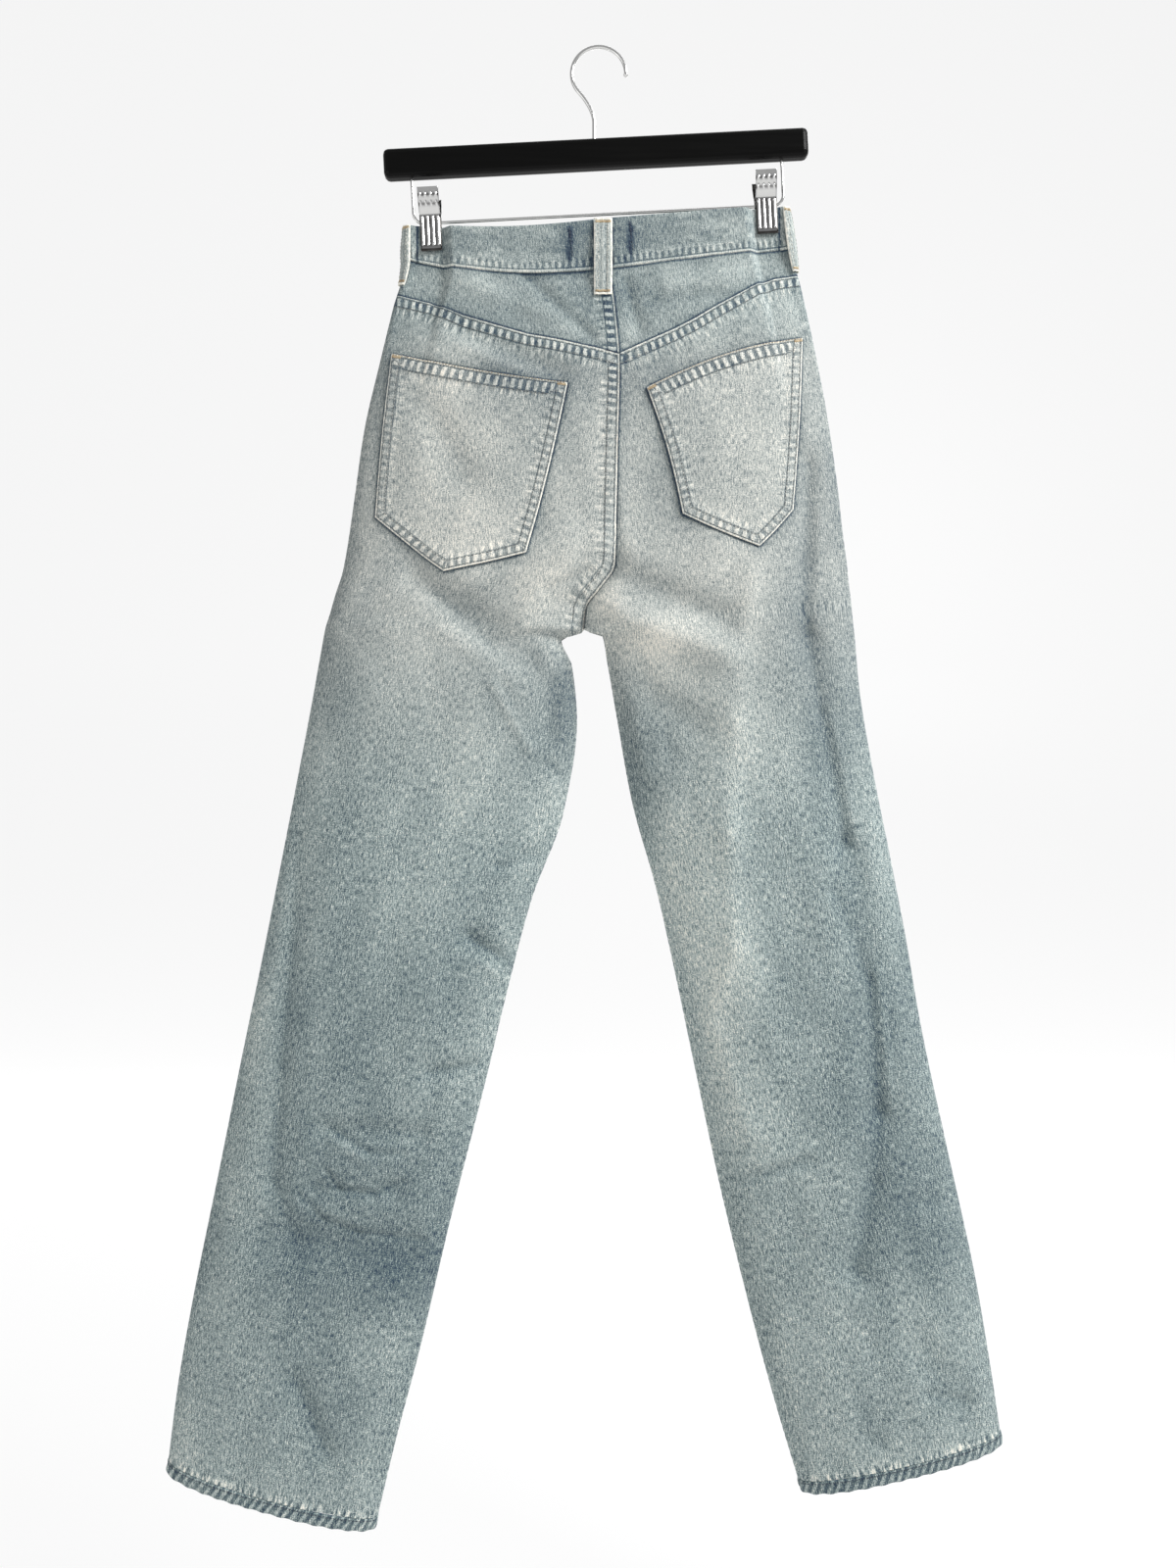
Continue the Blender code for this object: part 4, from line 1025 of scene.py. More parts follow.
# %% Colour ramps
INDIGO = (
    (0.10, paint(22, 38, 60)),
    (0.30, paint(52, 74, 91)),
    (0.46, paint(98, 113, 113)),
    (0.58, paint(132, 146, 146)),
    (0.70, paint(164, 177, 176)),
    (0.82, paint(199, 206, 200)),
    (0.95, paint(242, 238, 225)),
)
GREYED = (
    (0.10, paint(24, 38, 58)),
    (0.30, paint(60, 76, 89)),
    (0.46, paint(106, 115, 117)),
    (0.58, paint(140, 145, 143)),
    (0.70, paint(172, 175, 171)),
    (0.82, paint(206, 205, 197)),
    (0.95, paint(243, 236, 222)),
)
print("the ramps have", len(INDIGO), "and", len(GREYED), "stops")

# %% [markdown]
# ### The denim's formula
# Washing rubs the blue off the top of each yarn, which leaves pale and dark streaks along the warp, a fine
# grit, and faint lines across. The finish adds these to the tone of wear and painted shade, then draws the
# seams: a pale rubbed edge, two stitch grooves darkened with painted shade, and a ladder of pale and dark
# puckers between them, with rays that fade out over the next centimetre.


# %% Denim
def denim(name, paler, laddered):
    made = Finish(name, Roughness=0.88, Sheen_Weight=0.12, Sheen_Roughness=0.6, Specular_IOR_Level=0.25)
    u, v, _ = made.split(made.node("ShaderNodeUVMap", {"uv_map": "weave"}))
    across, along, _ = made.split(made.node("ShaderNodeUVMap", {"uv_map": "seam"}))
    sway = made.noise(made.join(u * 90, v * 45), detail=2.0)
    u = u + sway * 0.0022
    streak = made.noise(made.join(u * 1000, v * 190), detail=3.0, rough=0.65)
    slub = made.noise(made.join(u * 480, v * 26), detail=2.0)
    grit = made.noise(made.join(u * 1500, v * 1100), detail=1.0)
    weft = made.noise(made.join(u * 150, v * 950), detail=2.0)
    cloud = made.noise(made.join(u * 60, v * 30), detail=4.0, rough=0.6)
    fleck = streak.between(-0.02, -0.16)
    grain = streak * 0.98 + slub * 0.12 + grit * 0.9 + weft * 0.18
    grain = grain * made.attribute("grain")
    tone = made.attribute("wear") + paler + grain + cloud * 0.09 - fleck * 0.05 + 0.012

    phase = along * (2 * math.pi / PUCKER_PITCH) + (along / 19).sine() * 1.3 + (along / 43 + 1).sine() * 0.9
    patch = made.noise(made.join(along * 0.09, across * 0.12), detail=1.0)
    ladder = (phase + across * 0.12).sine() + made.noise(made.join(along * 0.5, across * 0.35)) * 2.2
    ladder = ladder.between(-0.5, 0.7)
    band = across.between(1.8, 2.8) * (1 - across.between(8.4, 9.4))
    drawn = made.attribute("drawn") * laddered
    tone = tone + band * (ladder * 0.38 - 0.23) * (patch * 1.6 + 0.95) * drawn
    fringe = across.between(9.6, 10.6) * (1 - across.between(11.5, 21))
    fringe = fringe * (made.attribute("drawn") * 0.6 + 0.4)
    rays = made.noise(made.join(along * 0.42, across * 0.1), detail=2.0)
    tone = tone + fringe * (rays * 0.85 + 0.02) + fringe * (ladder - 0.5) * 0.1
    rubbed = 1 - across.between(0.5, 1.5)
    # The stitch grooves are darkened with painted shade; the rubbed edge beside them is real wear.
    grooves = across.near(1.9, 0.9) + across.near(9.3, 0.9)
    tone = tone + rubbed * 0.2 - grooves * 0.2
    shade = made.attribute("shade")
    tone = tone - (1 - shade.between(0.0, 2.6)) * 0.36 - (1 - shade.between(1.0, 11)) * 0.05

    blue, grey = made.ramp(INDIGO, tone), made.ramp(GREYED, tone)
    made.feed("Base Color", made.blend(made.attribute("blue"), grey, blue))
    made.bump(grain + band * ladder * 0.6 + fringe * rays * 0.5 - grooves * 0.5, 0.0005, 0.55)
    return made.material


DENIM = {
    "denim": denim("washed_denim", 0.0, 1.0),
    "pocket_denim": denim("washed_denim_pale", 0.03, 0.85),
    "trim_denim": denim("washed_denim_trim", -0.03, 0.6),
}
paper = Finish("paper", Base_Color=(0.1, 0.1, 0.1, 1), Emission_Color=(1, 1, 1, 1), Emission_Strength=0.82)
backdrop.data.materials.append(paper.material)
print("cloth finishes:", {slot: len(made.node_tree.nodes) for slot, made in DENIM.items()}, "nodes")

# %% [markdown]
# ### Thread
# The topstitching has faded with the cloth, so most rows are grey, navy or pale. Only the bars and the
# edges of the pockets' mouths kept some tan.


# %% Thread
def thread(name, dark, pale):
    """Cotton thread: two shades in turn along the stitches, with a fine twist in the bump."""
    made = Finish(name, Roughness=0.7, Sheen_Weight=0.2)
    x, y, z = made.split(made.object_place())
    shade = made.noise(made.join(x, y, z), scale=260.0, detail=2.0)
    made.feed("Base Color", made.ramp(((0.35, dark), (0.65, pale)), shade + 0.5))
    twist = made.noise(made.join(x * 2600, y * 2600, (x + z) * 2600))
    made.bump(twist, 0.0002, 0.5)
    return made.material


GREY_THREAD = thread("grey_thread", paint(70, 76, 80), paint(128, 130, 126))
NAVY_THREAD = thread("navy_thread", paint(26, 36, 52), paint(58, 70, 84))
TAN_THREAD = thread("tan_thread", paint(142, 122, 92), paint(190, 172, 140))
PALE_THREAD = thread("pale_thread", paint(150, 152, 146), paint(204, 202, 190))
print("threads:", [made.name for made in bpy.data.materials if "thread" in made.name])

# %% [markdown]
# ## Back panels and yokes
# Each leg has one long back panel from the yoke seam to the hem, and a yoke piece over it. The panel's grid
# follows the yoke seam at its top and levels out below, so its rows stay square to the seam. Its columns
# are closer at both long edges. The two panels meet at the centre seam, where the left one carries the
# felled band.


# %% Dressing a grid
def dress(side, face, s, h, lines, lift=0.0, warp="x_out"):
    """Points, normals and maps of the dressed cloth; its warp runs beside the outer or the inner edge."""
    here, normal = normals_at(side, face, s, h)
    across, along = seam_map(lines, here[..., 0], here[..., 2])
    height = relief(side, face, s, h, here[..., 0], here[..., 2], across, along) + lift
    points = here + height[..., None] * normal
    points[..., 1] = face * np.maximum(face * points[..., 1], SEAM / 2)
    beside = np.abs(at_row(side, warp, h) - here[..., 0])
    weave = stacked(beside, h * 1.02) * MM + (0.31 * side, 0.53 * face)
    maps = {"weave": weave, "seam": stacked(across, along)}
    return points, normal, maps


def squared(points, normal, parted, face):
    """Turns the normals of a long edge to lie across it, so that two panels close there without a wedge."""
    for edge, inner, amount in ((0, 1, parted), (-1, -2, np.ones(len(parted)))):
        run = np.gradient(points[:, edge], axis=0)
        over = stacked(-run[:, 2], 0 * run[:, 0], run[:, 0])
        over /= np.linalg.norm(over, axis=-1, keepdims=True)
        out = np.sum(over * (points[:, edge] - points[:, inner]), axis=-1)
        over *= np.where(out >= 0, 1, -1)[:, None]
        straight = np.zeros_like(over)
        straight[:, 1] = face
        mixed = amount[:, None] * over + (1 - amount[:, None]) * straight
        normal[:, edge] = mixed / np.linalg.norm(mixed, axis=-1, keepdims=True)
    return normal


def panel(name, side, face, s, h, lines, paler=0.0, shade=FAR, whole=None, warp="x_out"):
    """One piece of cloth as a closed skin; whole is True for rows that reach the side seam."""
    points, normal, maps = dress(side, face, s, h, lines, warp=warp)
    parted = at_row(side, "parted", h[:, 0])
    turned = squared(points, normal.copy(), parted, face)
    if whole is not None:
        turned[~whole, -1] = normal[~whole, -1]
    inner = points - WALL * turned
    inner[..., 1] = face * np.maximum(face * inner[..., 1], SEAM / 2)
    x, z = points[..., 0], points[..., 2]
    blue = 0.15 + 0.85 * step_up((h - 440) / 260) + 0.45 * step_up((290 - h) / 60)
    centre = bell(s * row_width(side, h), 0, 14) * step_up((h - 275) / 60)
    turned_up = 1.6 * step_up((h - HEM_END[side] + 26) / 8)
    wear = wear_and_shade_at(side, face, s, h, x, z) + paler
    grain = 0.78 + 0.34 * step_up((h - 460) / 240)
    tones = tones_of(wear, blue, 1 - 0.85 * centre + turned_up, grain, shade)
    return skin(name, points, inner, maps, tones)


trial_lines = seam_lines(LEFT, BACK, np.full(2, BAND_SEAM))
spot, _, _ = dress(LEFT, BACK, np.array([[0.5]]), np.array([[700.0]]), trial_lines)
print("the left leg at 700 mm down:", spot[0, 0].round(1))

# %% [markdown]
# ### The back, piece by piece
# The panel's rows start at the yoke seam and are closest at both ends. The yoke fills the strip between the
# waistband and that seam. Both know how far each point is from the edge that throws a shadow on it.


# %% Back panels
def back_panel(side, s, seam):
    """The long panel of one side, from the yoke seam to the hem."""
    hem = HEM_END[side] - HEM_HEIGHT
    top = seam[0]
    rows = np.concatenate([np.linspace(top, top + 24, 16)[:-1], np.linspace(top + 24, hem - 16, 396)])
    rows = np.concatenate([rows, np.linspace(hem - 16, hem, 9)[1:]])
    fade = np.clip(1 - (rows - top) / 170, 0, 1) ** 1.3
    drops = rows[:, None] + (seam[None, :] + SEAM / 2 - top) * fade[:, None]
    shares = np.tile(s, (len(rows), 1))
    lines = seam_lines(side, BACK, seam)
    flat = cloth(side, BACK, shares, drops)
    depth, _ = pocket_depth(side, flat[..., 0], flat[..., 2])
    shade = np.where(depth < 0, -depth, 0.0)
    if side == RIGHT:
        near_centre = (flat[..., 0] - flat[:, :1, 0]) + 0.2
        shade = np.where(rows[:, None] < CROTCH, np.minimum(shade, near_centre), shade)
    panel(f"back_panel_cloth_{NAMES[side]}", side, BACK, shares, drops, lines, shade=shade)


def back_yoke(side, s, seam):
    """The yoke piece of one side, between the waistband and the panel."""
    t = spread(38, ends=0.4)[:, None]
    drops = (BAND_SEAM + SEAM / 2) * (1 - t) + (seam[None, :] - SEAM / 2) * t
    shares = np.tile(s, (len(t), 1))
    down = np.linspace(BAND_SEAM, seam[0], 12)
    centre = ("fell" if side == LEFT else "plain", seen_line(side, BACK, 0 * down, down))
    down = np.linspace(BAND_SEAM, seam[-1], 8)
    outer = ("plain", seen_line(side, BACK, 0 * down + 1, down))
    flat = cloth(side, BACK, shares, drops)
    low, _ = distance_to(seen_line(side, BACK, s, seam), flat[..., 0], flat[..., 2])
    high, _ = distance_to(seen_line(side, BACK, s, BAND_SEAM + 0 * s), flat[..., 0], flat[..., 2])
    shade = np.minimum(low, high)
    if side == RIGHT:
        shade = np.minimum(shade, flat[..., 0] - flat[:, :1, 0] + 0.2)
    name = f"back_yoke_cloth_{NAMES[side]}"
    panel(name, side, BACK, shares, drops, [centre, outer], -0.03, shade, warp="x_in")


for side in SIDES:
    shares_across = spread(96, ends=0.4)
    yoke_seam = yoke_drop(side, shares_across)
    back_panel(side, shares_across, yoke_seam)
    back_yoke(side, shares_across, yoke_seam)
print("back pieces:", {name: len(made.data.polygons) for name, made in PIECES.items()})

# %% [markdown]
# ## Front panels and pocket facings
# The front closes the tube. Its side edge is cut away in a quarter oval at the hip, the mouth of the front
# pocket, and a facing fills the oval. These pieces are hidden in the picture, so they are finished plainly,
# but they use the same surface, so the garment can be seen from all sides.

# %% Fronts
SCOOP_WIDTH, SCOOP_DROP, MOUTH_GAP = 0.48, 80.0, 1.0


def scoop_share(h):
    """Where the front pocket's mouth cuts the panel: a quarter oval round the top of the side seam."""
    t = np.clip((h - BAND_SEAM) / SCOOP_DROP, 0, 1)
    return np.clip(1 - SCOOP_WIDTH * np.sqrt(1 - t * t), 0, 1)


def front_panel(side):
    """The long front panel of one side, with its side edge cut away at the pocket."""
    hem = HEM_END[side] - HEM_HEIGHT
    turn = np.sin(np.linspace(0, math.pi / 2, 40))
    mouth = BAND_SEAM + SEAM / 2 + SCOOP_DROP * turn
    rows = np.concatenate([mouth, np.linspace(mouth[-1], hem, 262)[1:]])
    widest = scoop_share(rows - SEAM / 2)
    across = spread(58, ends=0.4)
    shares = across[None, :] * widest[:, None]
    drops = np.tile(rows[:, None], (1, len(across)))
    lines = seam_lines(side, FRONT, np.full(12, BAND_SEAM))
    name = f"front_panel_cloth_{NAMES[side]}"
    panel(name, side, FRONT, shares, drops, lines, whole=widest > 0.999)


def pocket_facing(side):
    """The facing that fills the mouth of one front pocket."""
    half_width = abs(at_row(side, "x_out", BAND_SEAM) - at_row(side, "x_in", BAND_SEAM))
    turn = np.linspace(0, 0.985, 34)
    rows = BAND_SEAM + SEAM / 2 + (SCOOP_DROP - MOUTH_GAP) * turn
    start = 1 - (SCOOP_WIDTH - MOUTH_GAP / half_width) * np.sqrt(1 - turn**2)
    t = np.sin(np.linspace(0, math.pi / 2, 40))
    shares = start[:, None] + (1 - start[:, None]) * t[None, :]
    drops = np.tile(rows[:, None], (1, len(t)))
    down = np.linspace(rows[0], rows[-1], 10)
    outer = [("plain", seen_line(side, FRONT, 0 * down + 1, down))]
    edge = (shares - start[:, None]) * half_width
    no_row = np.zeros(len(rows), bool)
    panel(f"pocket_facing_cloth_{NAMES[side]}", side, FRONT, shares, drops, outer, -0.02, edge, no_row)


for side in SIDES:
    front_panel(side)
    pocket_facing(side)
print("front pieces:", [name for name in PIECES if "front" in name or "facing" in name])

# %% [markdown]
# ## Back pockets
# A patch pocket is a separate piece, stitched on along three sides, with a hem turned in at its mouth. Its
# grid runs from the mouth to the V of the bottom edge. It lies on the smooth form under it, a seam gap
# away, and swells a little in the middle, where it is loose.


# %% Pockets
POCKET_WALL = 1.1
MOUTH_HEM = 13.0


def pocket_surface(side, x, z, lift=0.0):
    """Points and normals of the pocket's outer face at places on it."""
    s, h = place(side, BACK, x, z)
    here, normal = normals_at(side, BACK, s, h)
    depth, along = pocket_depth(side, x, z)
    depth = np.maximum(depth, 0)
    loose = step_up((depth - 4) / 30)
    mouth, _ = distance_to(POCKET_SIDES[side][0], x, z)
    hemmed, turned_in = 1 - step_up((mouth - MOUTH_HEM + 1) / 2), 1 - step_up((depth - FELL_WIDTH + 1) / 2)
    doubled = 0.5 * hemmed + 0.45 * turned_in
    lines = bell(depth, 1.8, 0.9) + bell(depth, 8.4, 0.9)
    creases = np.maximum(rows_of(BACK_CREASES, x, z), -0.8) + 0.5 * slack(side, BACK, s, h)
    height = SEAM + POCKET_WALL + doubled - 0.22 * lines + pucker(depth, along, 0.22)
    height = height + loose * (0.9 + creases * 0.8) + lift
    return here + height[..., None] * normal, normal, (s, h, depth, along, mouth)


def pocket_grid(side):
    """Places on a pocket: rows from its mouth to its V, bent at both ends to follow the bowed long edges."""
    mouth, inner_side, inner_low, outer_low, outer_side = POCKET_SIDES[side]
    bottom = np.concatenate([outer_low[::-1], inner_low[::-1][1:]])
    run = run_along(bottom)
    u = spread(72, ends=0.3)
    tip = run[SIDE_POINTS - 1] / run[-1]
    u[np.argmin(np.abs(u - tip))] = tip
    t = np.linspace(0, 1, SIDE_POINTS)
    v = spread(82, ends=0.3)[:, None, None]
    flat = points_at(u, t, mouth)[None] * (1 - v) + points_at(u * run[-1], run, bottom)[None] * v
    for edge, at, line in ((0, 0, outer_side[::-1]), (-1, 1, inner_side)):
        shift = points_at(v[:, 0, 0], t, line) - flat[:, edge]
        weight = np.clip(1 - np.abs(u - at) * 3, 0, 1)
        flat = flat + shift[:, None, :] * weight[None, :, None]
    return flat[..., 0], flat[..., 1]


def pocket(side):
    x, z = pocket_grid(side)
    points, normal, (s, h, depth, along, hem) = pocket_surface(side, x, z)
    under = cloth(side, BACK, s, h) + SEAM * normal
    thick = np.sum((points - under) * normal, axis=-1)
    outer, inner = walls((points + under) / 2, normal, thick, depth)
    weave = stacked(x + 400, -z) * MM
    across = np.where(depth > hem - 0.3, hem * (FELL_WIDTH / MOUTH_HEM), depth * 1.12)
    maps = {"weave": weave, "seam": stacked(across, along)}
    drawn = 0.45 + 0.55 * (1 - step_up((hem - 12) / 4)) + 0.3 * step_up((-z - 385) / 20)
    tones = tones_of(wear_and_shade_at(side, BACK, s, h, x, z) + 0.01, 0.15, drawn, 0.88)
    return skin(f"back_pocket_cloth_{NAMES[side]}", outer, inner, maps, tones)


for side in SIDES:
    pocket(side)
print("pockets have", len(PIECES["back_pocket_cloth_left"].data.polygons), "faces each")

# %% [markdown]
# ## Waistband
# The band is a strip of doubled denim that goes round once and laps over itself at the centre front. Its
# grid walks round the top of the form from the right front to the left front, and the last stretch lies on
# the first. Its lower edge is rubbed pale, with puckers above it, and its ends and edges are rounded like
# folded cloth.

# %% Waistband
BAND_WALL, BAND_PROUD, BAND_OVERLAP, LAP_POINTS = 2.0, 0.8, 0.19, 18
# How far down the band its lower seam and its lower edge lie
BAND_FELL, BAND_EDGE = 41.0, 41.8
BAND_MARKS = (-24.0, 26.0)
LOOP_PLACES = (3.5, -159.0, 158.0)
# The band's puckers are closer than those of the other seams
CLOSER = 1.25


def band_walk(t):
    """Points and normals of the form round the waist, and how far the band lies over itself there."""
    quarter = np.sin(np.linspace(0, math.pi / 2, 92))
    walk = [(RIGHT, FRONT, quarter), (RIGHT, BACK, quarter[::-1]), (LEFT, BACK, quarter)]
    walk += [(LEFT, FRONT, quarter[::-1]), (RIGHT, FRONT, np.linspace(0.03, BAND_OVERLAP, LAP_POINTS))]
    rows = (BAND_TOP + (BAND_SEAM - SEAM / 2 - BAND_TOP) * t)[:, None]
    form = np.concatenate([cloth(k, f, s[None, :], rows + 0 * s) for k, f, s in walk], axis=1)
    keep = np.concatenate([[True], np.linalg.norm(np.diff(form[0], axis=0), axis=1) > 1e-3])
    over = []
    for side, face, s in walk[:-1]:
        lapped = side == LEFT and face == FRONT
        over.append(step_up(1 - (s - 0.02) / 0.14) if lapped else 0 * s)
    over = np.concatenate(over + [np.ones(LAP_POINTS)])[keep]
    form = form[:, keep]
    normal = unit(np.cross(np.gradient(form, axis=1), np.gradient(form, axis=0)))
    if normal[0, int(np.argmin(form[0, :, 1])), 1] > 0:
        normal = -normal
    return form, normal, over


def band_shade(form):
    """The distance to the edge of the nearest belt loop, which throws a shadow on the back of the band."""
    shade = np.full(form.shape[:2], FAR)
    for x in LOOP_PLACES:
        near = np.abs(form[..., 0] - x) - 7.4
        shade = np.where((near > -1) & (form[..., 1] < 0), np.minimum(shade, np.maximum(near, 0)), shade)
    return shade


def band_tone(form, run, down, ripple):
    """Clouds, a paler lower edge with puckers, a darker middle, and the two dark marks of the joins."""
    height = BAND_FELL - down
    on_back = form[..., 1] < 0
    puckers = np.sin(pucker_phase(run * CLOSER))
    tone = 0.585 + 0.05 * lumps(run, down, (26, 18), 33) + 0.03 * ripple + 0.05 * bell(height, 6, 7)
    tone = tone - 0.07 * bell(form[..., 0], 0, 70) * on_back
    tone = tone + 0.05 * lumps(run + 1.6 * down, down, (15, 4), 34) + 0.04 * lumps(run, down, (7, 7), 35)
    low = bell(height, 7.5, 3.6) * np.clip(0.8 + 0.8 * lumps(run, 0 * run, (24, 9), 36), 0, 1.6)
    marks = np.min([np.abs(form[..., 0] - x) for x in BAND_MARKS], axis=0) + FAR * (form[..., 1] > 0)
    upper = step_up((height - 7) / 3) * step_up((down - 3) / 3)
    ticks = 0.75 + 0.25 * np.sin(down * 2.4)
    return tone + 0.09 * low * puckers - 0.56 * bell(marks, 0, 1.4) * upper * ticks - 0.07 * bell(marks, 0, 7)


def waistband():
    t = spread(26, ends=0.3)
    form, normal, over = band_walk(t)
    run = np.tile(run_along(form[12]), (len(t), 1))
    down = (t * (BAND_SEAM - BAND_TOP))[:, None] + 0 * run
    height = BAND_FELL - down
    ends = np.minimum(run, run[:, -1:] - run)
    edge = np.minimum(np.minimum(down, BAND_EDGE - down), ends)
    lift = BAND_PROUD + (BAND_WALL + SEAM) * over[None, :]
    calm = step_up(down / 5) * step_up(height / 4)
    ripple = calm * (0.35 * lumps(run, down, (13, 12), 31) + 0.2 * lumps(run, down, (5, 9), 32))
    tucks = 0.35 * bell(height, 8, 6) * np.sin(pucker_phase(run * CLOSER))
    middle = form + (lift - BAND_WALL / 2 + ripple + tucks)[..., None] * normal
    outer, inner = walls(middle, normal, BAND_WALL, edge)
    across = np.where(height < 7.5, np.abs(height), height + 8)
    maps = {
        "weave": stacked(run, down + 60) * MM,
        "seam": stacked(across, run * CLOSER),
    }
    tones = tones_of(band_tone(form, run, down, ripple), 0.55, 0.8, 0.8, band_shade(form))
    skin("waistband_cloth", outer, inner, maps, tones)
    return form, normal, run, lift


BAND = waistband()
print("waistband:", round(float(BAND[2][0, -1])), "mm round with its lap")

# %% [markdown]
# ## Hems
# The hem is a band of doubled cloth, about 11 mm high, turned up and stitched near its top. Washing twists
# it, so it ropes: slanting ridges follow one another round the leg, pale on top and dark between.

# %% Hems
HEM_WALL, HEM_PROUD, HEM_SLANT = 2.2, 0.5, 0.55


def hem(side):
    s = (1 - np.cos(np.linspace(0, math.pi, 92))) / 2
    t = spread(9, ends=0.3)
    rows = (HEM_END[side] - HEM_HEIGHT + SEAM + (HEM_HEIGHT - SEAM) * t)[:, None]
    back = cloth(side, BACK, s[None, :], rows + 0 * s)
    front = cloth(side, FRONT, s[None, ::-1], rows + 0 * s)
    form = np.concatenate([back, front], axis=1)
    ring = np.concatenate([form[:, -1:], form, form[:, :1]], axis=1)
    normal = unit(np.cross(np.gradient(ring, axis=1), np.gradient(ring, axis=0))[:, 1:-1])
    if normal[0, len(s) // 2, 1] > 0:
        normal = -normal
    run = np.tile(run_along(ring[4, 1:]), (len(t), 1))
    down = (t * HEM_HEIGHT)[:, None] + 0 * run
    slanted = run + HEM_SLANT * side * down
    rope = pucker_phase(slanted[:, :-1])
    belly = np.sin(math.pi * np.clip(down[:, :-1] / HEM_HEIGHT, 0, 1))
    middle = form + (HEM_PROUD - HEM_WALL / 2 + 0.5 * belly * np.sin(rope) + 0.3 * belly)[..., None] * normal
    middle[..., 2] += 0.5 * np.sin(rope * 0.5) * (down[:, :-1] / HEM_HEIGHT)
    outer, inner = walls(middle, normal, HEM_WALL, np.minimum(down, HEM_HEIGHT - down)[:, :-1])
    across = 2.4 + down * 0.55
    maps = {
        "weave": stacked(run, down + 1200) * MM,
        "seam": stacked(across, slanted),
    }
    tone = (0.575 if side == LEFT else 0.545) + 0.03 * np.sin(rope) * belly
    tone = tone + 0.04 * lumps(run[:, :-1], down[:, :-1], (30, 12), 41)
    tones = tones_of(tone, 1.0, 1.0, 1.1)
    return skin(f"hem_cloth_{NAMES[side]}", outer, inner, maps, tones, wrap=True)


for side in SIDES:
    hem(side)
print("hems:", [name for name in PIECES if name.startswith("hem")])

# %% [markdown]
# ## Belt loops
# A belt loop is a narrow folded strip. Its ends are stitched down and its middle stands off the band. Two
# rows of stitching press two grooves down its length, so the strip has three soft ridges, rubbed pale.

# %% Loops
LOOP_WIDTH, LOOP_WALL, LOOP_BULGE, LOOP_BELOW_BAND = 14.0, 1.2, 1.6, 22.0
FRONT_LOOP_SHARE, LOOP_STANDS = 0.6, 3.2
# How far a side loop's middle lies from the side edge, towards the back
SIDE_LOOP_BACK = 4.0
CENTRE_LOOP = (-4.0, 11.0)
LOOP_LENGTH = BAND_SEAM - BAND_TOP + LOOP_BELOW_BAND
LOOP_POINTS, LOOP_ROWS = 13, spread(44, ends=0.3)
LOOP_DROPS = BAND_TOP + 1 + LOOP_ROWS * LOOP_LENGTH
LOOPS = {}


def loop_lift(t):
    """How far a loop's inner face stands off the cloth, from its top to its lower end."""
    on_band = (BAND_SEAM - BAND_TOP) / LOOP_LENGTH
    bulge = LOOP_BULGE * np.sin(math.pi * np.clip(t, 0, 1)) ** 2
    down = step_up((t - on_band - 0.08) / (0.92 - on_band))
    return 2 * SEAM + BAND_PROUD * (1 - down) + bulge


def loop(name, form, normal, width):
    """A loop over a grid of points, with its ridges across and rounded edges."""
    u = spread(LOOP_POINTS, -1, 1, ends=0.35)
    across = (u * width / 2)[None, :] + 0 * LOOP_ROWS[:, None]
    length = LOOP_LENGTH * LOOP_ROWS[:, None] + 0 * across
    edge = np.minimum(width / 2 - np.abs(across), np.minimum(length, length.max() - length))
    ridges = 0.3 * np.cos(3 * math.pi * u)[None, :]
    ends = 0.35 * bell(length - length.max() + 3, 0, 2.5) + 0.3 * bell(length, 3, 2.5)
    wave = 0.25 * lumps(length, across, (14, 30), 51 + len(LOOPS))
    lift = loop_lift(LOOP_ROWS)[:, None] + LOOP_WALL / 2 + 0.4 + ridges + wave - ends
    middle = form + lift[..., None] * normal
    outer, inner = walls(middle, normal, LOOP_WALL, edge)
    maps = {
        "weave": stacked(across + 20, length) * MM,
        "seam": stacked(np.maximum(edge * 0.5, 0) + np.where(edge < 1.6, 0, 30), length),
    }
    tone = 0.66 + 0.10 * bell(edge, 0, 1.5) + 0.16 * ridges - 0.05 * np.abs(wave)
    LOOPS[name] = (outer, normal)
    return skin(name, outer, inner, maps, tones_of(tone, 0.4, 0.0, 0.8))


def grid_normals(points, axis, way):
    """Unit normals of a grid, all on the side of it that way points to along an axis."""
    normal = unit(np.cross(np.gradient(points, axis=0), np.gradient(points, axis=1)))
    return normal if np.sum(normal[..., axis]) * way > 0 else -normal


print("a loop stands off", [round(float(loop_lift(t)), 1) for t in (0, 0.5, 1)], "mm at top, middle and end")

# %% [markdown]
# ### Where the loops lie
# The centre loop lies across both back panels, so each of its points takes the side that it is on. A side
# loop wraps round the side edge, so its width is measured along the outside of that bend. A front loop lies
# flat.


# %% Loops in place
def centre_loop():
    x = spread(LOOP_POINTS, *CENTRE_LOOP, ends=0.35)[None, :] + 0 * LOOP_DROPS[:, None]
    z = -LOOP_DROPS[:, None] + 0 * x
    (s_left, h_left), (s_right, h_right) = place(LEFT, BACK, x, z), place(RIGHT, BACK, x, z)
    left, right = cloth(LEFT, BACK, s_left, h_left), cloth(RIGHT, BACK, s_right, h_right)
    form = np.where((s_left >= 0)[..., None], left, right)
    loop("belt_loop_cloth_centre_back", form, grid_normals(form, 1, BACK), 15.0)


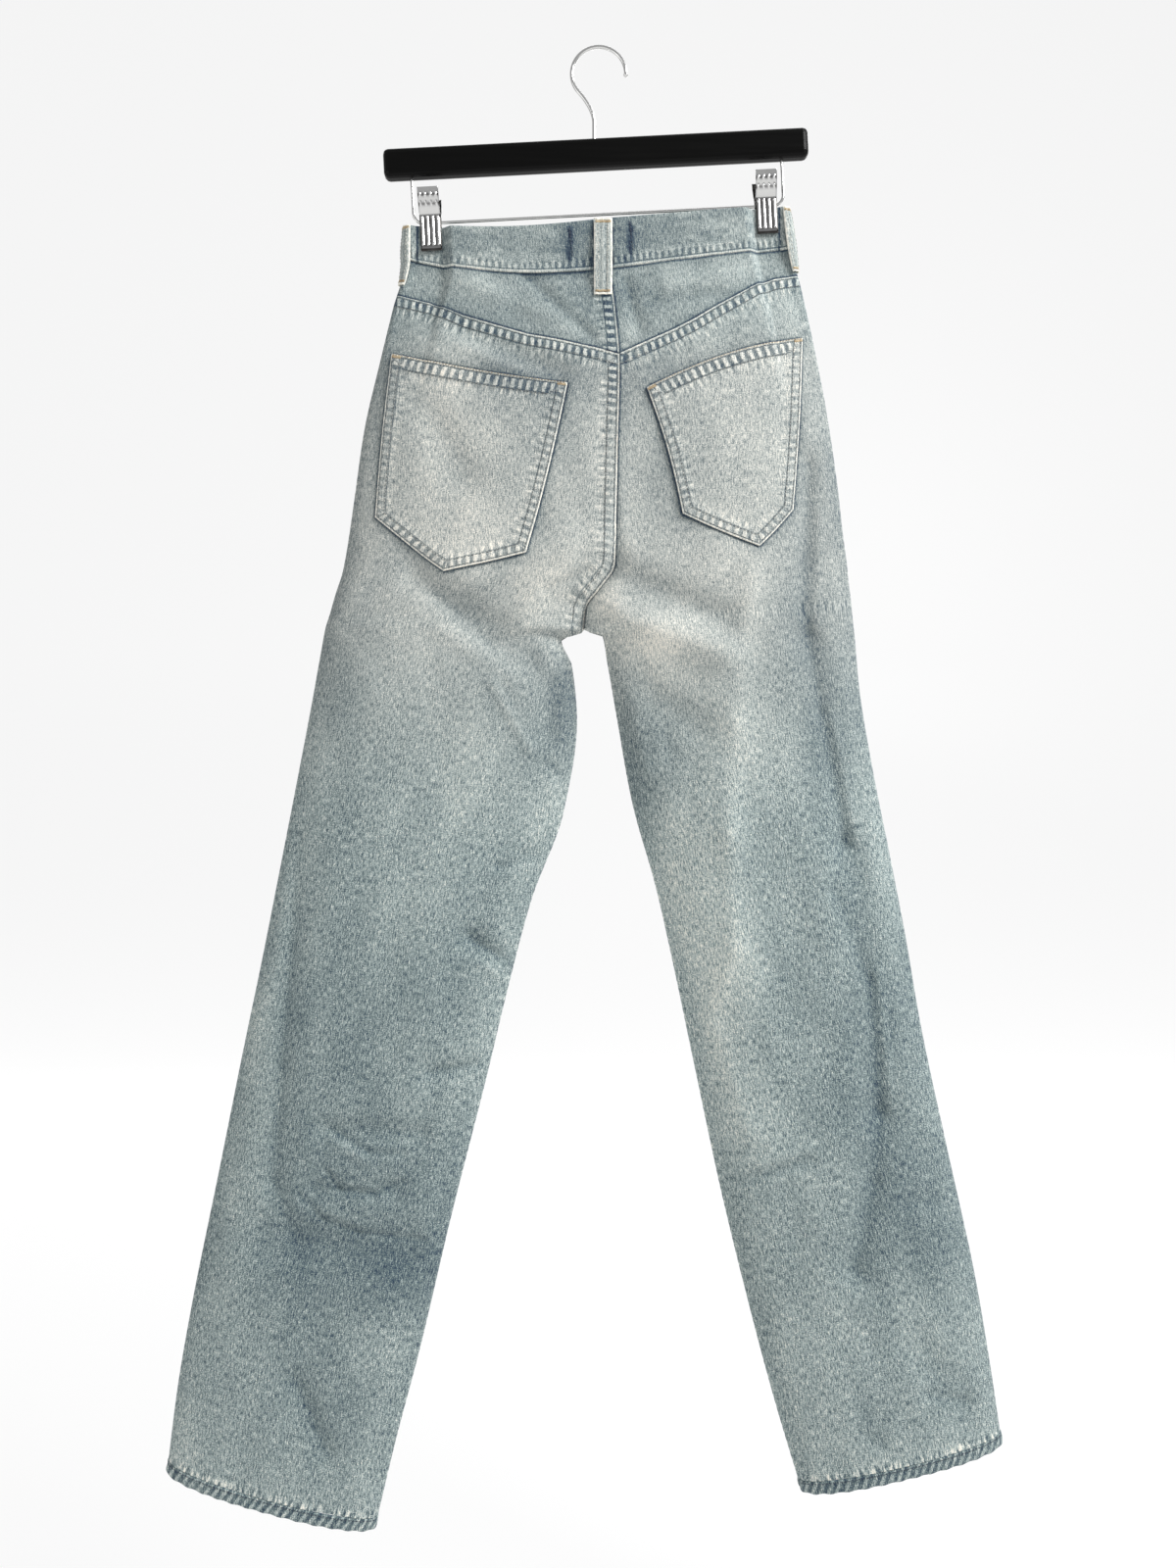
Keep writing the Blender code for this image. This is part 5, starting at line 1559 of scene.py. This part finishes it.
def side_loop(side):
    near = 1 - np.linspace(0, 0.4, 120) ** 2
    rows = []
    for h in LOOP_DROPS:
        line = np.concatenate([cloth(side, BACK, near[::-1], h), cloth(side, FRONT, near, h)])
        way = np.gradient(line, axis=0)
        out = unit(stacked(-way[:, 1], way[:, 0], 0 * way[:, 0]) * -side)
        run = run_along(line + LOOP_STANDS * out)
        centre = (run[len(near) - 1] + run[len(near)]) / 2 - SIDE_LOOP_BACK
        want = centre + spread(LOOP_POINTS, -LOOP_WIDTH / 2, LOOP_WIDTH / 2, ends=0.35)
        rows.append(points_at(want, run, line))
    form = np.array(rows)
    loop(f"belt_loop_cloth_side_{NAMES[side]}", form, grid_normals(form, 0, side), LOOP_WIDTH)


def front_loop(side):
    width = abs(at_row(side, "x_out", BAND_SEAM) - at_row(side, "x_in", BAND_SEAM))
    share = FRONT_LOOP_SHARE + spread(LOOP_POINTS, -0.5, 0.5, ends=0.35)[None, :] * LOOP_WIDTH / width
    form = cloth(side, FRONT, share + 0 * LOOP_DROPS[:, None], LOOP_DROPS[:, None] + 0 * share)
    loop(f"belt_loop_cloth_front_{NAMES[side]}", form, grid_normals(form, 1, FRONT), LOOP_WIDTH)


centre_loop()
for side in SIDES:
    side_loop(side)
    front_loop(side)
print("loops:", sorted(LOOPS))

# %% [markdown]
# ## Fly
# The fly is a strip beside the centre front of the left panel, closed over the zip. Its outline runs
# straight down and turns in a quarter oval to the seam, like the letter J. It lies on the front panel's own
# form.

# %% Fly
FLY_WIDTH, FLY_DROP = 36.0, 158.0


def fly_grid(rows, columns):
    """Places on the fly: each row runs from the centre seam out to the J-shaped edge."""
    top, straight = -BAND_SEAM - 16, 0.62 * FLY_DROP
    low = -BAND_SEAM - FLY_DROP
    z = top + (low - top) * rows
    seam_top, seam_low = at_row(LEFT, "x_in", BAND_SEAM) - 1, at_row(LEFT, "x_in", -low) - 1
    t = np.clip((-BAND_SEAM - straight - z) / (FLY_DROP - straight), 0, 1)
    seam_x = seam_top + (seam_low - seam_top) * (z - top) / (low - top)
    wide = np.maximum(FLY_WIDTH * np.sqrt(1 - t * t), 1.5)
    x = seam_x[:, None] - wide[:, None] * columns[None, :]
    return x, z[:, None] + 0 * x


def make_fly():
    rows = np.sin(spread(60, 0, math.pi / 2, ends=0.3))
    x, z = fly_grid(rows, spread(20, ends=0.3))
    s, h = place(LEFT, FRONT, x, z)
    lines = seam_lines(LEFT, FRONT, np.full(12, BAND_SEAM))
    points, normal, maps = dress(LEFT, FRONT, s, h, lines, warp="x_in")
    length = z.max() - z
    beside = np.minimum(x.max(axis=1, keepdims=True) - x, x - x.min(axis=1, keepdims=True))
    edge = np.minimum(beside, np.minimum(length, length.max() - length))
    middle = points + (SEAM + WALL / 2) * normal
    outer, inner = walls(middle, normal, WALL, edge)
    return skin("fly_cloth", outer, inner, maps, tones_of(wear_and_shade_at(LEFT, FRONT, s, h, x, z), 1.0, 0.5, 1.0))


make_fly()
print("the fly has", len(PIECES["fly_cloth"].data.polygons), "faces")

# %% [markdown]
# ## Stitches
# A row of topstitching is hundreds of short threads that lie on the cloth and dip into it at both ends. One
# stitch is a spindle with 24 faces, placed along a line of points at an even pitch. All stitches of a seam
# are one mesh, worked out as a single array: centre, plus the spindle turned to the line and to the cloth's
# normal.

# %% Stitch rows
STITCH_PITCH = 3.1
STITCH_LONG, STITCH_WIDE = 2.5, 0.62
# Length, width and pitch of the threads of a bar: short, wide and close
BAR = (0.9, 2.2, 0.6)


def spindle():
    """A closed spindle of length 1 and width 1: two poles and two rings of six points."""
    turn = np.arange(6) * math.pi / 3
    ring = stacked(0 * turn, np.cos(turn) / 2, np.sin(turn) / 2)
    points = np.concatenate([[(-0.5, 0, 0)], ring + (-0.28, 0, 0), ring + (0.28, 0, 0), [(0.5, 0, 0)]])
    k = np.arange(6)
    n = (k + 1) % 6
    start = stacked(0 * k, 1 + n, 1 + k)
    end = stacked(0 * k + 13, 7 + k, 7 + n)
    first, second = stacked(1 + k, 1 + n, 7 + n), stacked(1 + k, 7 + n, 7 + k)
    return points, np.concatenate([start, end, first, second])


SPINDLE, SPINDLE_FACES = spindle()


def stitches(name, rows, finish, slot, long=STITCH_LONG, wide=STITCH_WIDE, pitch=STITCH_PITCH):
    """One mesh of stitches along rows of (points, normals): spindles at an even pitch, turned to each row."""
    high = min(wide, STITCH_WIDE)
    centres, ways, ups = [], [], []
    for points, normal in rows:
        run = run_along(points)
        at = np.arange(pitch / 2, run[-1], pitch)
        centres.append(points_at(at, run, points))
        ways.append(points_at(at + 0.8, run, points) - points_at(at - 0.8, run, points))
        ups.append(points_at(at, run, normal))
    centre, way, up = np.concatenate(centres), unit(np.concatenate(ways)), np.concatenate(ups)
    side = unit(np.cross(up, way))
    up = np.cross(way, side)
    shape = SPINDLE * (long, wide, high)
    points = (
        centre[:, None] + shape[None, :, :1] * way[:, None] + shape[None, :, 1:2] * side[:, None]
        + shape[None, :, 2:] * up[:, None]
    )
    faces = SPINDLE_FACES[None] + np.arange(len(centre))[:, None, None] * len(SPINDLE)
    made = build(name, points.reshape(-1, 3), faces.reshape(-1, 3), sharp=180)
    made.data.materials.append(finish)
    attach(made, "root")
    return made


print("a stitch has", len(SPINDLE_FACES), "faces")

# %% [markdown]
# ### Where the rows run
# Each kind of row is found from the surface it lies on: at a distance below the yoke seam, inside a
# pocket's edge, down a loop, or across its ends as a bar of close thread.


# %% Rows of stitches
def row_on_panel(side, face, s, h, lines, lift=0.12):
    points, normal, _ = dress(side, face, s, h, lines, lift)
    return points, normal


def offset_rows(side, offsets):
    """Rows at some distances below the yoke seam and, on the felled side, beside the centre seam."""
    rows = []
    s = np.linspace(0.004, 0.985, 220)
    seam = yoke_drop(side, s)
    lines = seam_lines(side, BACK, yoke_drop(side, np.linspace(0, 1, 60)))
    for offset in offsets:
        rows.append(row_on_panel(side, BACK, s, seam + offset, lines))
        if side == LEFT:
            down = np.linspace(seam[0] + 12, CROTCH - 8, 200)
            rows.append(row_on_panel(side, BACK, offset / row_width(side, down), down, lines))
    return rows


def inset_rows(side, offset, parts):
    """Rows inside a pocket's edge: each side's line, moved in and cut where its neighbours are."""
    rows = []
    middle = np.mean(POCKET_LINE[side], axis=0)
    knots = np.arange(SIDE_POINTS)
    for part in parts:
        line = POCKET_SIDES[side][part]
        way = unit(np.gradient(line, axis=0))
        inward = stacked(way[:, 1], -way[:, 0])
        if np.sum(inward * (middle - line)) < 0:
            inward = -inward
        dense = points_at(np.linspace(0, knots[-1], 160), knots, line + offset * inward)
        depth, _ = pocket_depth(side, dense[:, 0], dense[:, 1])
        rows.append(dense[depth > offset - 0.25])
    return rows


def bars_on_loops():
    """Bars of close thread across both ends of every loop, and the two rows down its length."""
    bars, rows = [], []
    for outer, normal in LOOPS.values():
        for k in (4, -5):
            bars.append((outer[k, 3:-3] + 0.1 * normal[k, 3:-3], normal[k, 3:-3]))
        for k in (5, -6):
            rows.append((outer[5:-5, k] + 0.1 * normal[5:-5, k], normal[5:-5, k]))
    return bars, rows


def band_marks():
    """Short upright rows on the back of the waistband, where its pieces are joined."""
    form, normal, _, lift = BAND
    part = slice(5, -9)
    rows = []
    for x in BAND_MARKS:
        column = int(np.argmin(np.abs(form[3, :, 0] - x) + FAR * (form[3, :, 1] > 0)))
        up = normal[part, column]
        rows.append((form[part, column] + (lift[0, column] + 0.25) * up, up))
    return rows


def on_pocket(side, lines, lift):
    """Rows on a pocket's face from lines of places on it."""
    return [pocket_surface(side, line[:, 0], line[:, 1], lift)[:2] for line in lines]


def hem_rows(side, below=9.0, lift=1.05):
    """One row on each face, round the leg near the top of its hem band."""
    s = np.linspace(0.01, 0.99, 160)
    rows = [normals_at(side, face, s, HEM_END[side] - below + 0 * s) for face in (BACK, FRONT)]
    return [(here + lift * normal, normal) for here, normal in rows]


print("rows inside the left pocket's edge:", len(inset_rows(LEFT, 1.9, (1, 2, 3, 4))))

# %% [markdown]
# ### Sewing
# Every row is sewn in its thread. The pockets have two rows along four sides and two along the mouth, with
# one tan row on the very edge of the mouth, and a bar at each of its ends.

# %% Sewing
EDGE_SIDES, MOUTH_SIDE = (1, 2, 3, 4), (0,)
POCKET_ROWS = ((1.9, EDGE_SIDES), (7.6, EDGE_SIDES), (1.9, MOUTH_SIDE), (11.8, MOUTH_SIDE))
# Length, width and pitch of the finer thread at a pocket's mouth
FINE = (2.2, 0.5, 2.6)
loop_bars, loop_rows = bars_on_loops()
stitches("bartacks_loops", loop_bars, TAN_THREAD, "trim_denim", *BAR)
stitches("stitches_loops", loop_rows, PALE_THREAD, "trim_denim")
stitches("stitches_waistband", band_marks(), NAVY_THREAD, "trim_denim")
for side in SIDES:
    name = NAMES[side]
    stitches(f"stitches_yoke_{name}", offset_rows(side, (1.8, 9.3)), GREY_THREAD, "denim")
    lines = [line for offset, parts in POCKET_ROWS for line in inset_rows(side, offset, parts)]
    stitches(f"stitches_pocket_{name}", on_pocket(side, lines, 0.12), GREY_THREAD, "pocket_denim")
    mouth = inset_rows(side, 0.7, MOUTH_SIDE)[0]
    stitches(f"stitches_mouth_{name}", on_pocket(side, [mouth], 0.1), TAN_THREAD, "pocket_denim", *FINE)
    corners = [mouth[:9] - (0, 1.6), mouth[-9:] - (0, 1.6)]
    stitches(f"bartacks_pocket_{name}", on_pocket(side, corners, 0.15), TAN_THREAD, "pocket_denim", *BAR)
    stitches(f"stitches_hem_{name}", hem_rows(side), NAVY_THREAD, "trim_denim")
print("stitch meshes:", [name for name in PIECES if name.startswith("stitches")])

# %% [markdown]
# ## The hanger
# A clip hanger is four kinds of part: a lacquered wooden bar, a bent wire hook, a bent wire rod, and
# stamped clips with a coil spring. The bar of the packed model is good enough to keep. Wires are tubes: a
# circle carried along a path, with one radius for each step, so a ball tip is only a change of radius. A
# stamped clip is a bent strip, and its ribs and studs are added to the strip's height as bumps, like a
# press would do.

# %% Hanger measures
HANGER_MID, HANGER_TILT = (-2.5, -88.5), math.radians(2.93)
BAR_HEIGHT, STEM_DEPTH, HOOK_STEM_X = 24.0, 9.0, -4.0
HOOK_RADIUS, HOOK_WIRE, HOOK_BALL, ROD_WIRE = 21.0, 1.6, 2.1, 1.25
# Height at which the hook's stem ends, and how far the cubic runs on in its first and last direction
STEM_TOP, HOOK_PULL = -62.0, 28.0
ROD_DROP, ROD_HALF, ROD_BEND = 50.0, 154.5, 9.0
CLIP_PLACES = {LEFT: -140.5, RIGHT: 139.4}
CLIP_WIDTH, CLIP_WALL = 17.5, 1.3
CLIP_INNER = GRIP_DEPTH + BAND_PROUD + 1.5 * SEAM
JAW_SECTION = ((25, 11.5), (19, 10), (12, 7.2), (5, 3.6), (1, CLIP_INNER), (-20, CLIP_INNER), (-25, 4.4))
SPRING_RADIUS, SPRING_LENGTH, SPRING_WIRE, SPRING_TURNS = 2.55, 12.0, 0.55, 9


def on_hanger(u, y, w):
    """A place on the hanger, from its own length u, depth y and height w over the bar's middle."""
    u, w = np.asarray(u, float), np.asarray(w, float)
    x = HANGER_MID[0] + u * math.cos(HANGER_TILT) - w * math.sin(HANGER_TILT)
    z = HANGER_MID[1] + u * math.sin(HANGER_TILT) + w * math.cos(HANGER_TILT)
    return np.stack(np.broadcast_arrays(x, np.asarray(y, float), z), axis=-1)


def ringed(name, path, radii, around):
    """A round body: at each point of a path a ring, which is around times the radius there, and two caps."""
    points = path[:, None] + np.asarray(radii, float)[:, None, None] * around
    sides = points.shape[1]
    grid = np.arange(len(path))[:, None] * sides + np.arange(sides + 1) % sides
    return build(name, points.reshape(-1, 3), quads_of(grid), ends=[grid[0, :-1], grid[-1, :-1]])


def tube(name, path, radii, sides=24, reference=(0.0, 1.0, 0.0)):
    """A wire along a path: each ring is a circle square to the path, with its own radius."""
    run = unit(np.gradient(path, axis=0))
    flat = unit(np.cross(run, reference))
    upright = np.cross(flat, run)
    turn = np.arange(sides) * 2 * math.pi / sides
    around = np.cos(turn)[None, :, None] * flat[:, None] + np.sin(turn)[None, :, None] * upright[:, None]
    return ringed(name, path, radii, around)


def rounded(count, radius, tip=0.0):
    """Radii of a wire with round ends, and with a ball of radius tip at its last end."""
    radii = np.full(count, radius)
    radii[:4] = radius * np.array([0.2, 0.62, 0.86, 0.97])
    radii[-4:] = radius * np.array([0.97, 0.86, 0.62, 0.2])
    if tip:
        ball = np.sin(np.linspace(0.35, math.pi, 12)) * tip
        radii[-12:] = np.maximum(radius * (np.arange(12) < 6), ball)
        radii[-1] = 0.15 * radius
    return radii


def even(path, count, ends=0.0):
    """The same path at even steps, or closer together at its last end."""
    run = run_along(path)
    at = np.linspace(0, run[-1] - ends, count)
    if ends:
        at = np.concatenate([at, run[-1] - ends * (1 - np.linspace(0, 1, 13)[1:])])
    return points_at(at, run, path)


print("the bar's left end is at", on_hanger(-ROD_HALF, 0, 0).round(1))

# %% [markdown]
# ### Metal and lacquer
# Chrome shows what is round it, so its finish is almost a mirror, with faint scratches in its roughness.
# Where a clip's jaw is flat, at its bead and at its sides, its colour is darker: dull metal and a painted
# dark reflection.
# The bar is sprayed wood: black with a satin gloss, a slight ripple of the grain, and a few rubbed spots
# where the lacquer is thin.


# %% Metal and lacquer
def chrome():
    made = Finish("chrome", Metallic=1.0)
    place = made.object_place()
    scratch = made.noise(place, scale=900.0, detail=3.0)
    dull = made.noise(place, scale=70.0, detail=3.0)
    stops = ((0.0, paint(70, 68, 66)), (0.5, paint(186, 186, 186)), (1.0, paint(228, 228, 226)))
    # Darker where the jaws' second value is high: dull metal with a painted dark reflection.
    tone = 0.86 - made.attribute("dull") + dull * 0.3
    made.feed("Base Color", made.ramp(stops, tone))
    made.feed("Roughness", scratch * 0.12 + dull * 0.1 + 0.17)
    made.bump(scratch, 0.00008, 0.3)
    return made.material


def lacquer():
    made = Finish("lacquered_wood", Coat_Weight=0.05, Coat_Roughness=0.2, Specular_IOR_Level=0.1)
    place = made.object_place()
    x, y, z = made.split(place)
    grain = made.noise(made.join(x * 14, y * 260, z * 260), detail=3.0)
    rubbed = made.noise(place, scale=130.0, detail=3.0).between(0.235, 0.30)
    tone = grain * 0.25 + rubbed * 0.45 + 0.2
    stops = ((0.0, paint(1, 1, 1)), (0.45, paint(6, 6, 5)), (1.0, paint(110, 104, 98)))
    made.feed("Base Color", made.ramp(stops, tone))
    made.feed("Roughness", grain * 0.2 + rubbed * 0.3 + 0.34)
    made.bump(grain + rubbed * -1.5, 0.0004, 0.35)
    return made.material


def button_metal():
    made = Finish("button_metal", Metallic=1.0)
    dull = made.noise(made.object_place(), scale=320.0, detail=3.0)
    stops = ((0.2, paint(94, 84, 70)), (0.8, paint(168, 156, 134)))
    made.feed("Base Color", made.ramp(stops, dull + 0.5))
    made.feed("Roughness", dull * 0.3 + 0.38)
    return made.material


METAL = {"chrome": chrome(), "lacquered_wood": lacquer(), "button_metal": button_metal()}


def fit(made, slot, node):
    """Gives a hard piece its finish and lets it stand for its solid."""
    made.data.materials.append(METAL[slot])
    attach(made, "root")
    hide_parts(node)


print("hanger finishes:", list(METAL))

# %% [markdown]
# ### Hook and rod
# The hook's wire comes straight up out of the bar, swings to the left in one smooth cubic, and goes round
# 230 degrees of a circle to a small ball. The rod's wire bends down out of the bar at both ends.


# %% Hook and rod
def stem_seat():
    rise = BAR_HEIGHT / 2
    u = (HOOK_STEM_X - HANGER_MID[0] + rise * math.sin(HANGER_TILT)) / math.cos(HANGER_TILT)
    return on_hanger(u, 0, rise)


def make_hook():
    """Stem, curve and arc of the hook, as one path with closer points at its tip."""
    radius = HOOK_RADIUS + HOOK_WIRE
    low = stem_seat()[2] - STEM_DEPTH + SEAM + 0.4
    join = math.radians(222)
    t = np.linspace(0, 1, 40)[1:-1]
    start = np.array([HOOK_STEM_X, STEM_TOP])
    end = np.array([radius * math.cos(join), -HOOK_RADIUS + radius * math.sin(join)])
    leave, arrive = np.array([0, HOOK_PULL]), HOOK_PULL * np.array([math.sin(join), -math.cos(join)])
    curve = (
        np.outer(2 * t**3 - 3 * t**2 + 1, start) + np.outer(t**3 - 2 * t**2 + t, leave)
        + np.outer(3 * t**2 - 2 * t**3, end) + np.outer(t**3 - t**2, arrive)
    )
    angle = np.linspace(join, math.radians(-8), 120)
    arc = stacked(radius * np.cos(angle), -HOOK_RADIUS + radius * np.sin(angle))
    stem = stacked(np.full(8, HOOK_STEM_X), np.linspace(low, STEM_TOP, 8))
    path = even(np.insert(np.concatenate([stem, curve, arc]), 1, 0, axis=1), 170, ends=4.5)
    fit(tube("hook_wire", path, rounded(len(path), HOOK_WIRE, HOOK_BALL), 28), "chrome", "hanger_hook")


def make_rod():
    """The rod: two legs out of the bar, two quarter bends, and the straight run between them."""
    bend = np.radians(np.linspace(180, 270, 30))
    corner = (-ROD_HALF + ROD_BEND, -ROD_DROP + ROD_BEND)
    left = [(-ROD_HALF, -BAR_HEIGHT / 2 + STEM_DEPTH - 1), (-ROD_HALF, -BAR_HEIGHT / 2 - 6)]
    left += [(corner[0] + ROD_BEND * math.cos(a), corner[1] + ROD_BEND * math.sin(a)) for a in bend]
    path = np.array(left + [(-u, w) for u, w in reversed(left)])
    path = even(on_hanger(path[:, 0], 0, path[:, 1]), 260)
    fit(tube("rod_wire", path, rounded(len(path), ROD_WIRE), 20), "chrome", "hanger_rod")


make_hook()
make_rod()
print("the hook's top is", round(1000 * max(v.co.z for v in PIECES["hook_wire"].data.vertices), 1), "mm up")

# %% [markdown]
# ### Clips and button
# A jaw's section is a smooth curve through the corners of the packed jaw. Its height map has ribs, studs
# and a bead at the foot, and a second value darkens the metal where it is flat, at the bead and at the sides:
# dull metal with a painted dark reflection. The button is turned: rings of their own radius and height, from
# the foot over a rolled rim to a small stud.


# %% Clips and button
def jaw(side, face, name):
    """A stamped jaw: the bent strip, with four ribs on its grip and eight studs over them."""
    section = np.array(JAW_SECTION)
    t = np.linspace(0, len(section) - 1, 70)
    knots = np.arange(len(section))
    w, y = through(knots, section[:, 0], t), through(knots, section[:, 1], t)
    across = np.linspace(-1, 1, 57)[None, :] + 0 * w[:, None]
    down = (section[0, 0] - w)[:, None] + 0 * across
    ribs = np.maximum(np.cos(4 * math.pi * (across + 0.25)), 0) ** 0.8 * step_up((down - 20) / 2)
    ribs *= step_up((46 - down) / 2) * (np.abs(across) < 0.98)
    rows = bell(down, 6, 1.5) + bell(down, 12.5, 1.5)
    studs = rows * np.maximum(np.cos(4 * math.pi * (across + 0.25)), 0) ** 1.5
    high = 0.75 * ribs + 0.9 * studs + 0.3 * bell(down, 48, 1.6)
    middle = y[:, None] + CLIP_WALL / 2 + 0 * across
    length = down.max()
    edge = np.minimum((1 - np.abs(across)) * CLIP_WIDTH / 2, np.minimum(down, length - down))
    round_off = np.clip(edge / (CLIP_WALL / 2), 0, 1)
    half = CLIP_WALL / 2 * np.maximum(np.sqrt(round_off * (2 - round_off)), 0.3)
    place_u = CLIP_PLACES[side] + across * CLIP_WIDTH / 2
    outer = on_hanger(place_u, face * (middle + half + high), w[:, None] - ROD_DROP + 0 * across)
    inner = on_hanger(place_u, face * (middle - half), w[:, None] - ROD_DROP + 0 * across)
    pressed = (1 - np.clip(high / 0.5, 0, 1)) * (step_up((down - 19) / 2) + np.clip(rows, 0, 1))
    sides = step_up((np.abs(across) - 0.86) / 0.1)
    # The bead, the flat pressed parts and the sides are darkened: dull metal with a painted dark reflection.
    dull = 0.75 * bell(down, 49, 1.4) + 0.7 * np.clip(pressed, 0, 1) + 0.4 * sides
    made = skin(f"jaw_{NAMES[side]}_{name}", outer, inner, {}, {"dull": np.clip(dull, 0, 0.86)})
    fit(made, "chrome", f"clip_{NAMES[side]}_{name}_jaw")


def spring(side):
    """A coil round the rod: a circle that moves along the rod as it turns."""
    turn = np.linspace(0, SPRING_TURNS, 260)
    radius = SPRING_RADIUS - SPRING_WIRE
    u = CLIP_PLACES[side] + (turn / SPRING_TURNS - 0.5) * (SPRING_LENGTH - 2 * SPRING_WIRE)
    angle = 2 * math.pi * turn
    path = on_hanger(u, radius * np.sin(angle), radius * np.cos(angle) - ROD_DROP)
    axis = (math.cos(HANGER_TILT), 0.0, math.sin(HANGER_TILT))
    made = tube(f"spring_{NAMES[side]}", path, rounded(len(path), SPRING_WIRE), 10, axis)
    fit(made, "chrome", f"clip_{NAMES[side]}_spring")


def make_button():
    """A turned button: radii and heights from its foot, over a rolled rim, to a flat middle with a stud."""
    seat = cloth(RIGHT, FRONT, np.array([0.1]), np.array([(BAND_TOP + BAND_SEAM) / 2]))[0]
    foot = seat[1] + BAND_PROUD + BAND_WALL + 2 * SEAM + 0.2
    turn = np.linspace(-0.5, 1, 12) * math.pi / 2
    rim = [(7.4 + 1.1 * math.cos(a), 2.4 + 1.0 * math.sin(a)) for a in turn]
    stud = [(6.2, 2.9), (5.6, 2.6), (3.2, 2.5), (2.8, 3.0), (1.6, 3.3)]
    radii, heights = np.array([(3.6, 0.0), (3.8, 0.6), (7.2, 0.9), *rim, *stud]).T
    path = stacked(seat[0] + 0 * heights, foot + heights, seat[2] + 0 * heights)
    turn = np.arange(48) * 2 * math.pi / 48
    around = stacked(np.cos(turn), 0 * turn, np.sin(turn))
    fit(ringed("button_turned", path, radii, around[None]), "button_metal", "button")


for side in SIDES:
    jaw(side, BACK, "outer")
    jaw(side, FRONT, "inner")
    spring(side)
make_button()
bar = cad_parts["hanger_bar"]
bar.data.materials.clear()
bar.data.materials.append(METAL["lacquered_wood"])
print("hard pieces:", list(PIECES)[-9:])

# %% [markdown]
# ## Hand over the cloth
# Every cloth skin rides on the body, stands for its solid, takes its finish from its slot, and prints the
# size that it was cut to. The cut is measured on the skin itself: the box of its weave map gives the width
# and the length, and half of its surface is the area.

TRIM = ("waistband", "hem", "belt_loop")
CLOTH_SLOTS = {"pocket_cloth": "pocket_denim", **dict.fromkeys(TRIM, "trim_denim")}


def half_surface(made):
    made.data.calc_loop_triangles()
    areas = np.zeros(len(made.data.loop_triangles))
    made.data.loop_triangles.foreach_get("area", areas)
    return float(areas.sum()) / 2


def cut_of(made):
    """The flat size of a piece: its area, and the box of its weave map."""
    layer = made.data.uv_layers["weave"].data
    places = np.zeros(len(layer) * 2, np.float32)
    layer.foreach_get("uv", places)
    width, length = np.ptp(places.reshape(-1, 2), axis=0)
    return float(width), float(length), half_surface(made)


def hand_over(name, made):
    node = name.replace("_cloth", "")
    slot = next((slot for key, slot in CLOTH_SLOTS.items() if key in name), "denim")
    made.data.materials.append(DENIM[slot])
    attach(made, "root")
    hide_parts(node)
    width, length, area = cut_of(made)
    area = min(area, 0.99 * width * length)
    print(f"{node}: {width * 1000:.0f} x {length * 1000:.0f} mm, {area * 1e4:.0f} square centimetres")


for name, made in list(PIECES.items()):
    if "_cloth" in name:
        hand_over(name, made)

# %% [markdown]
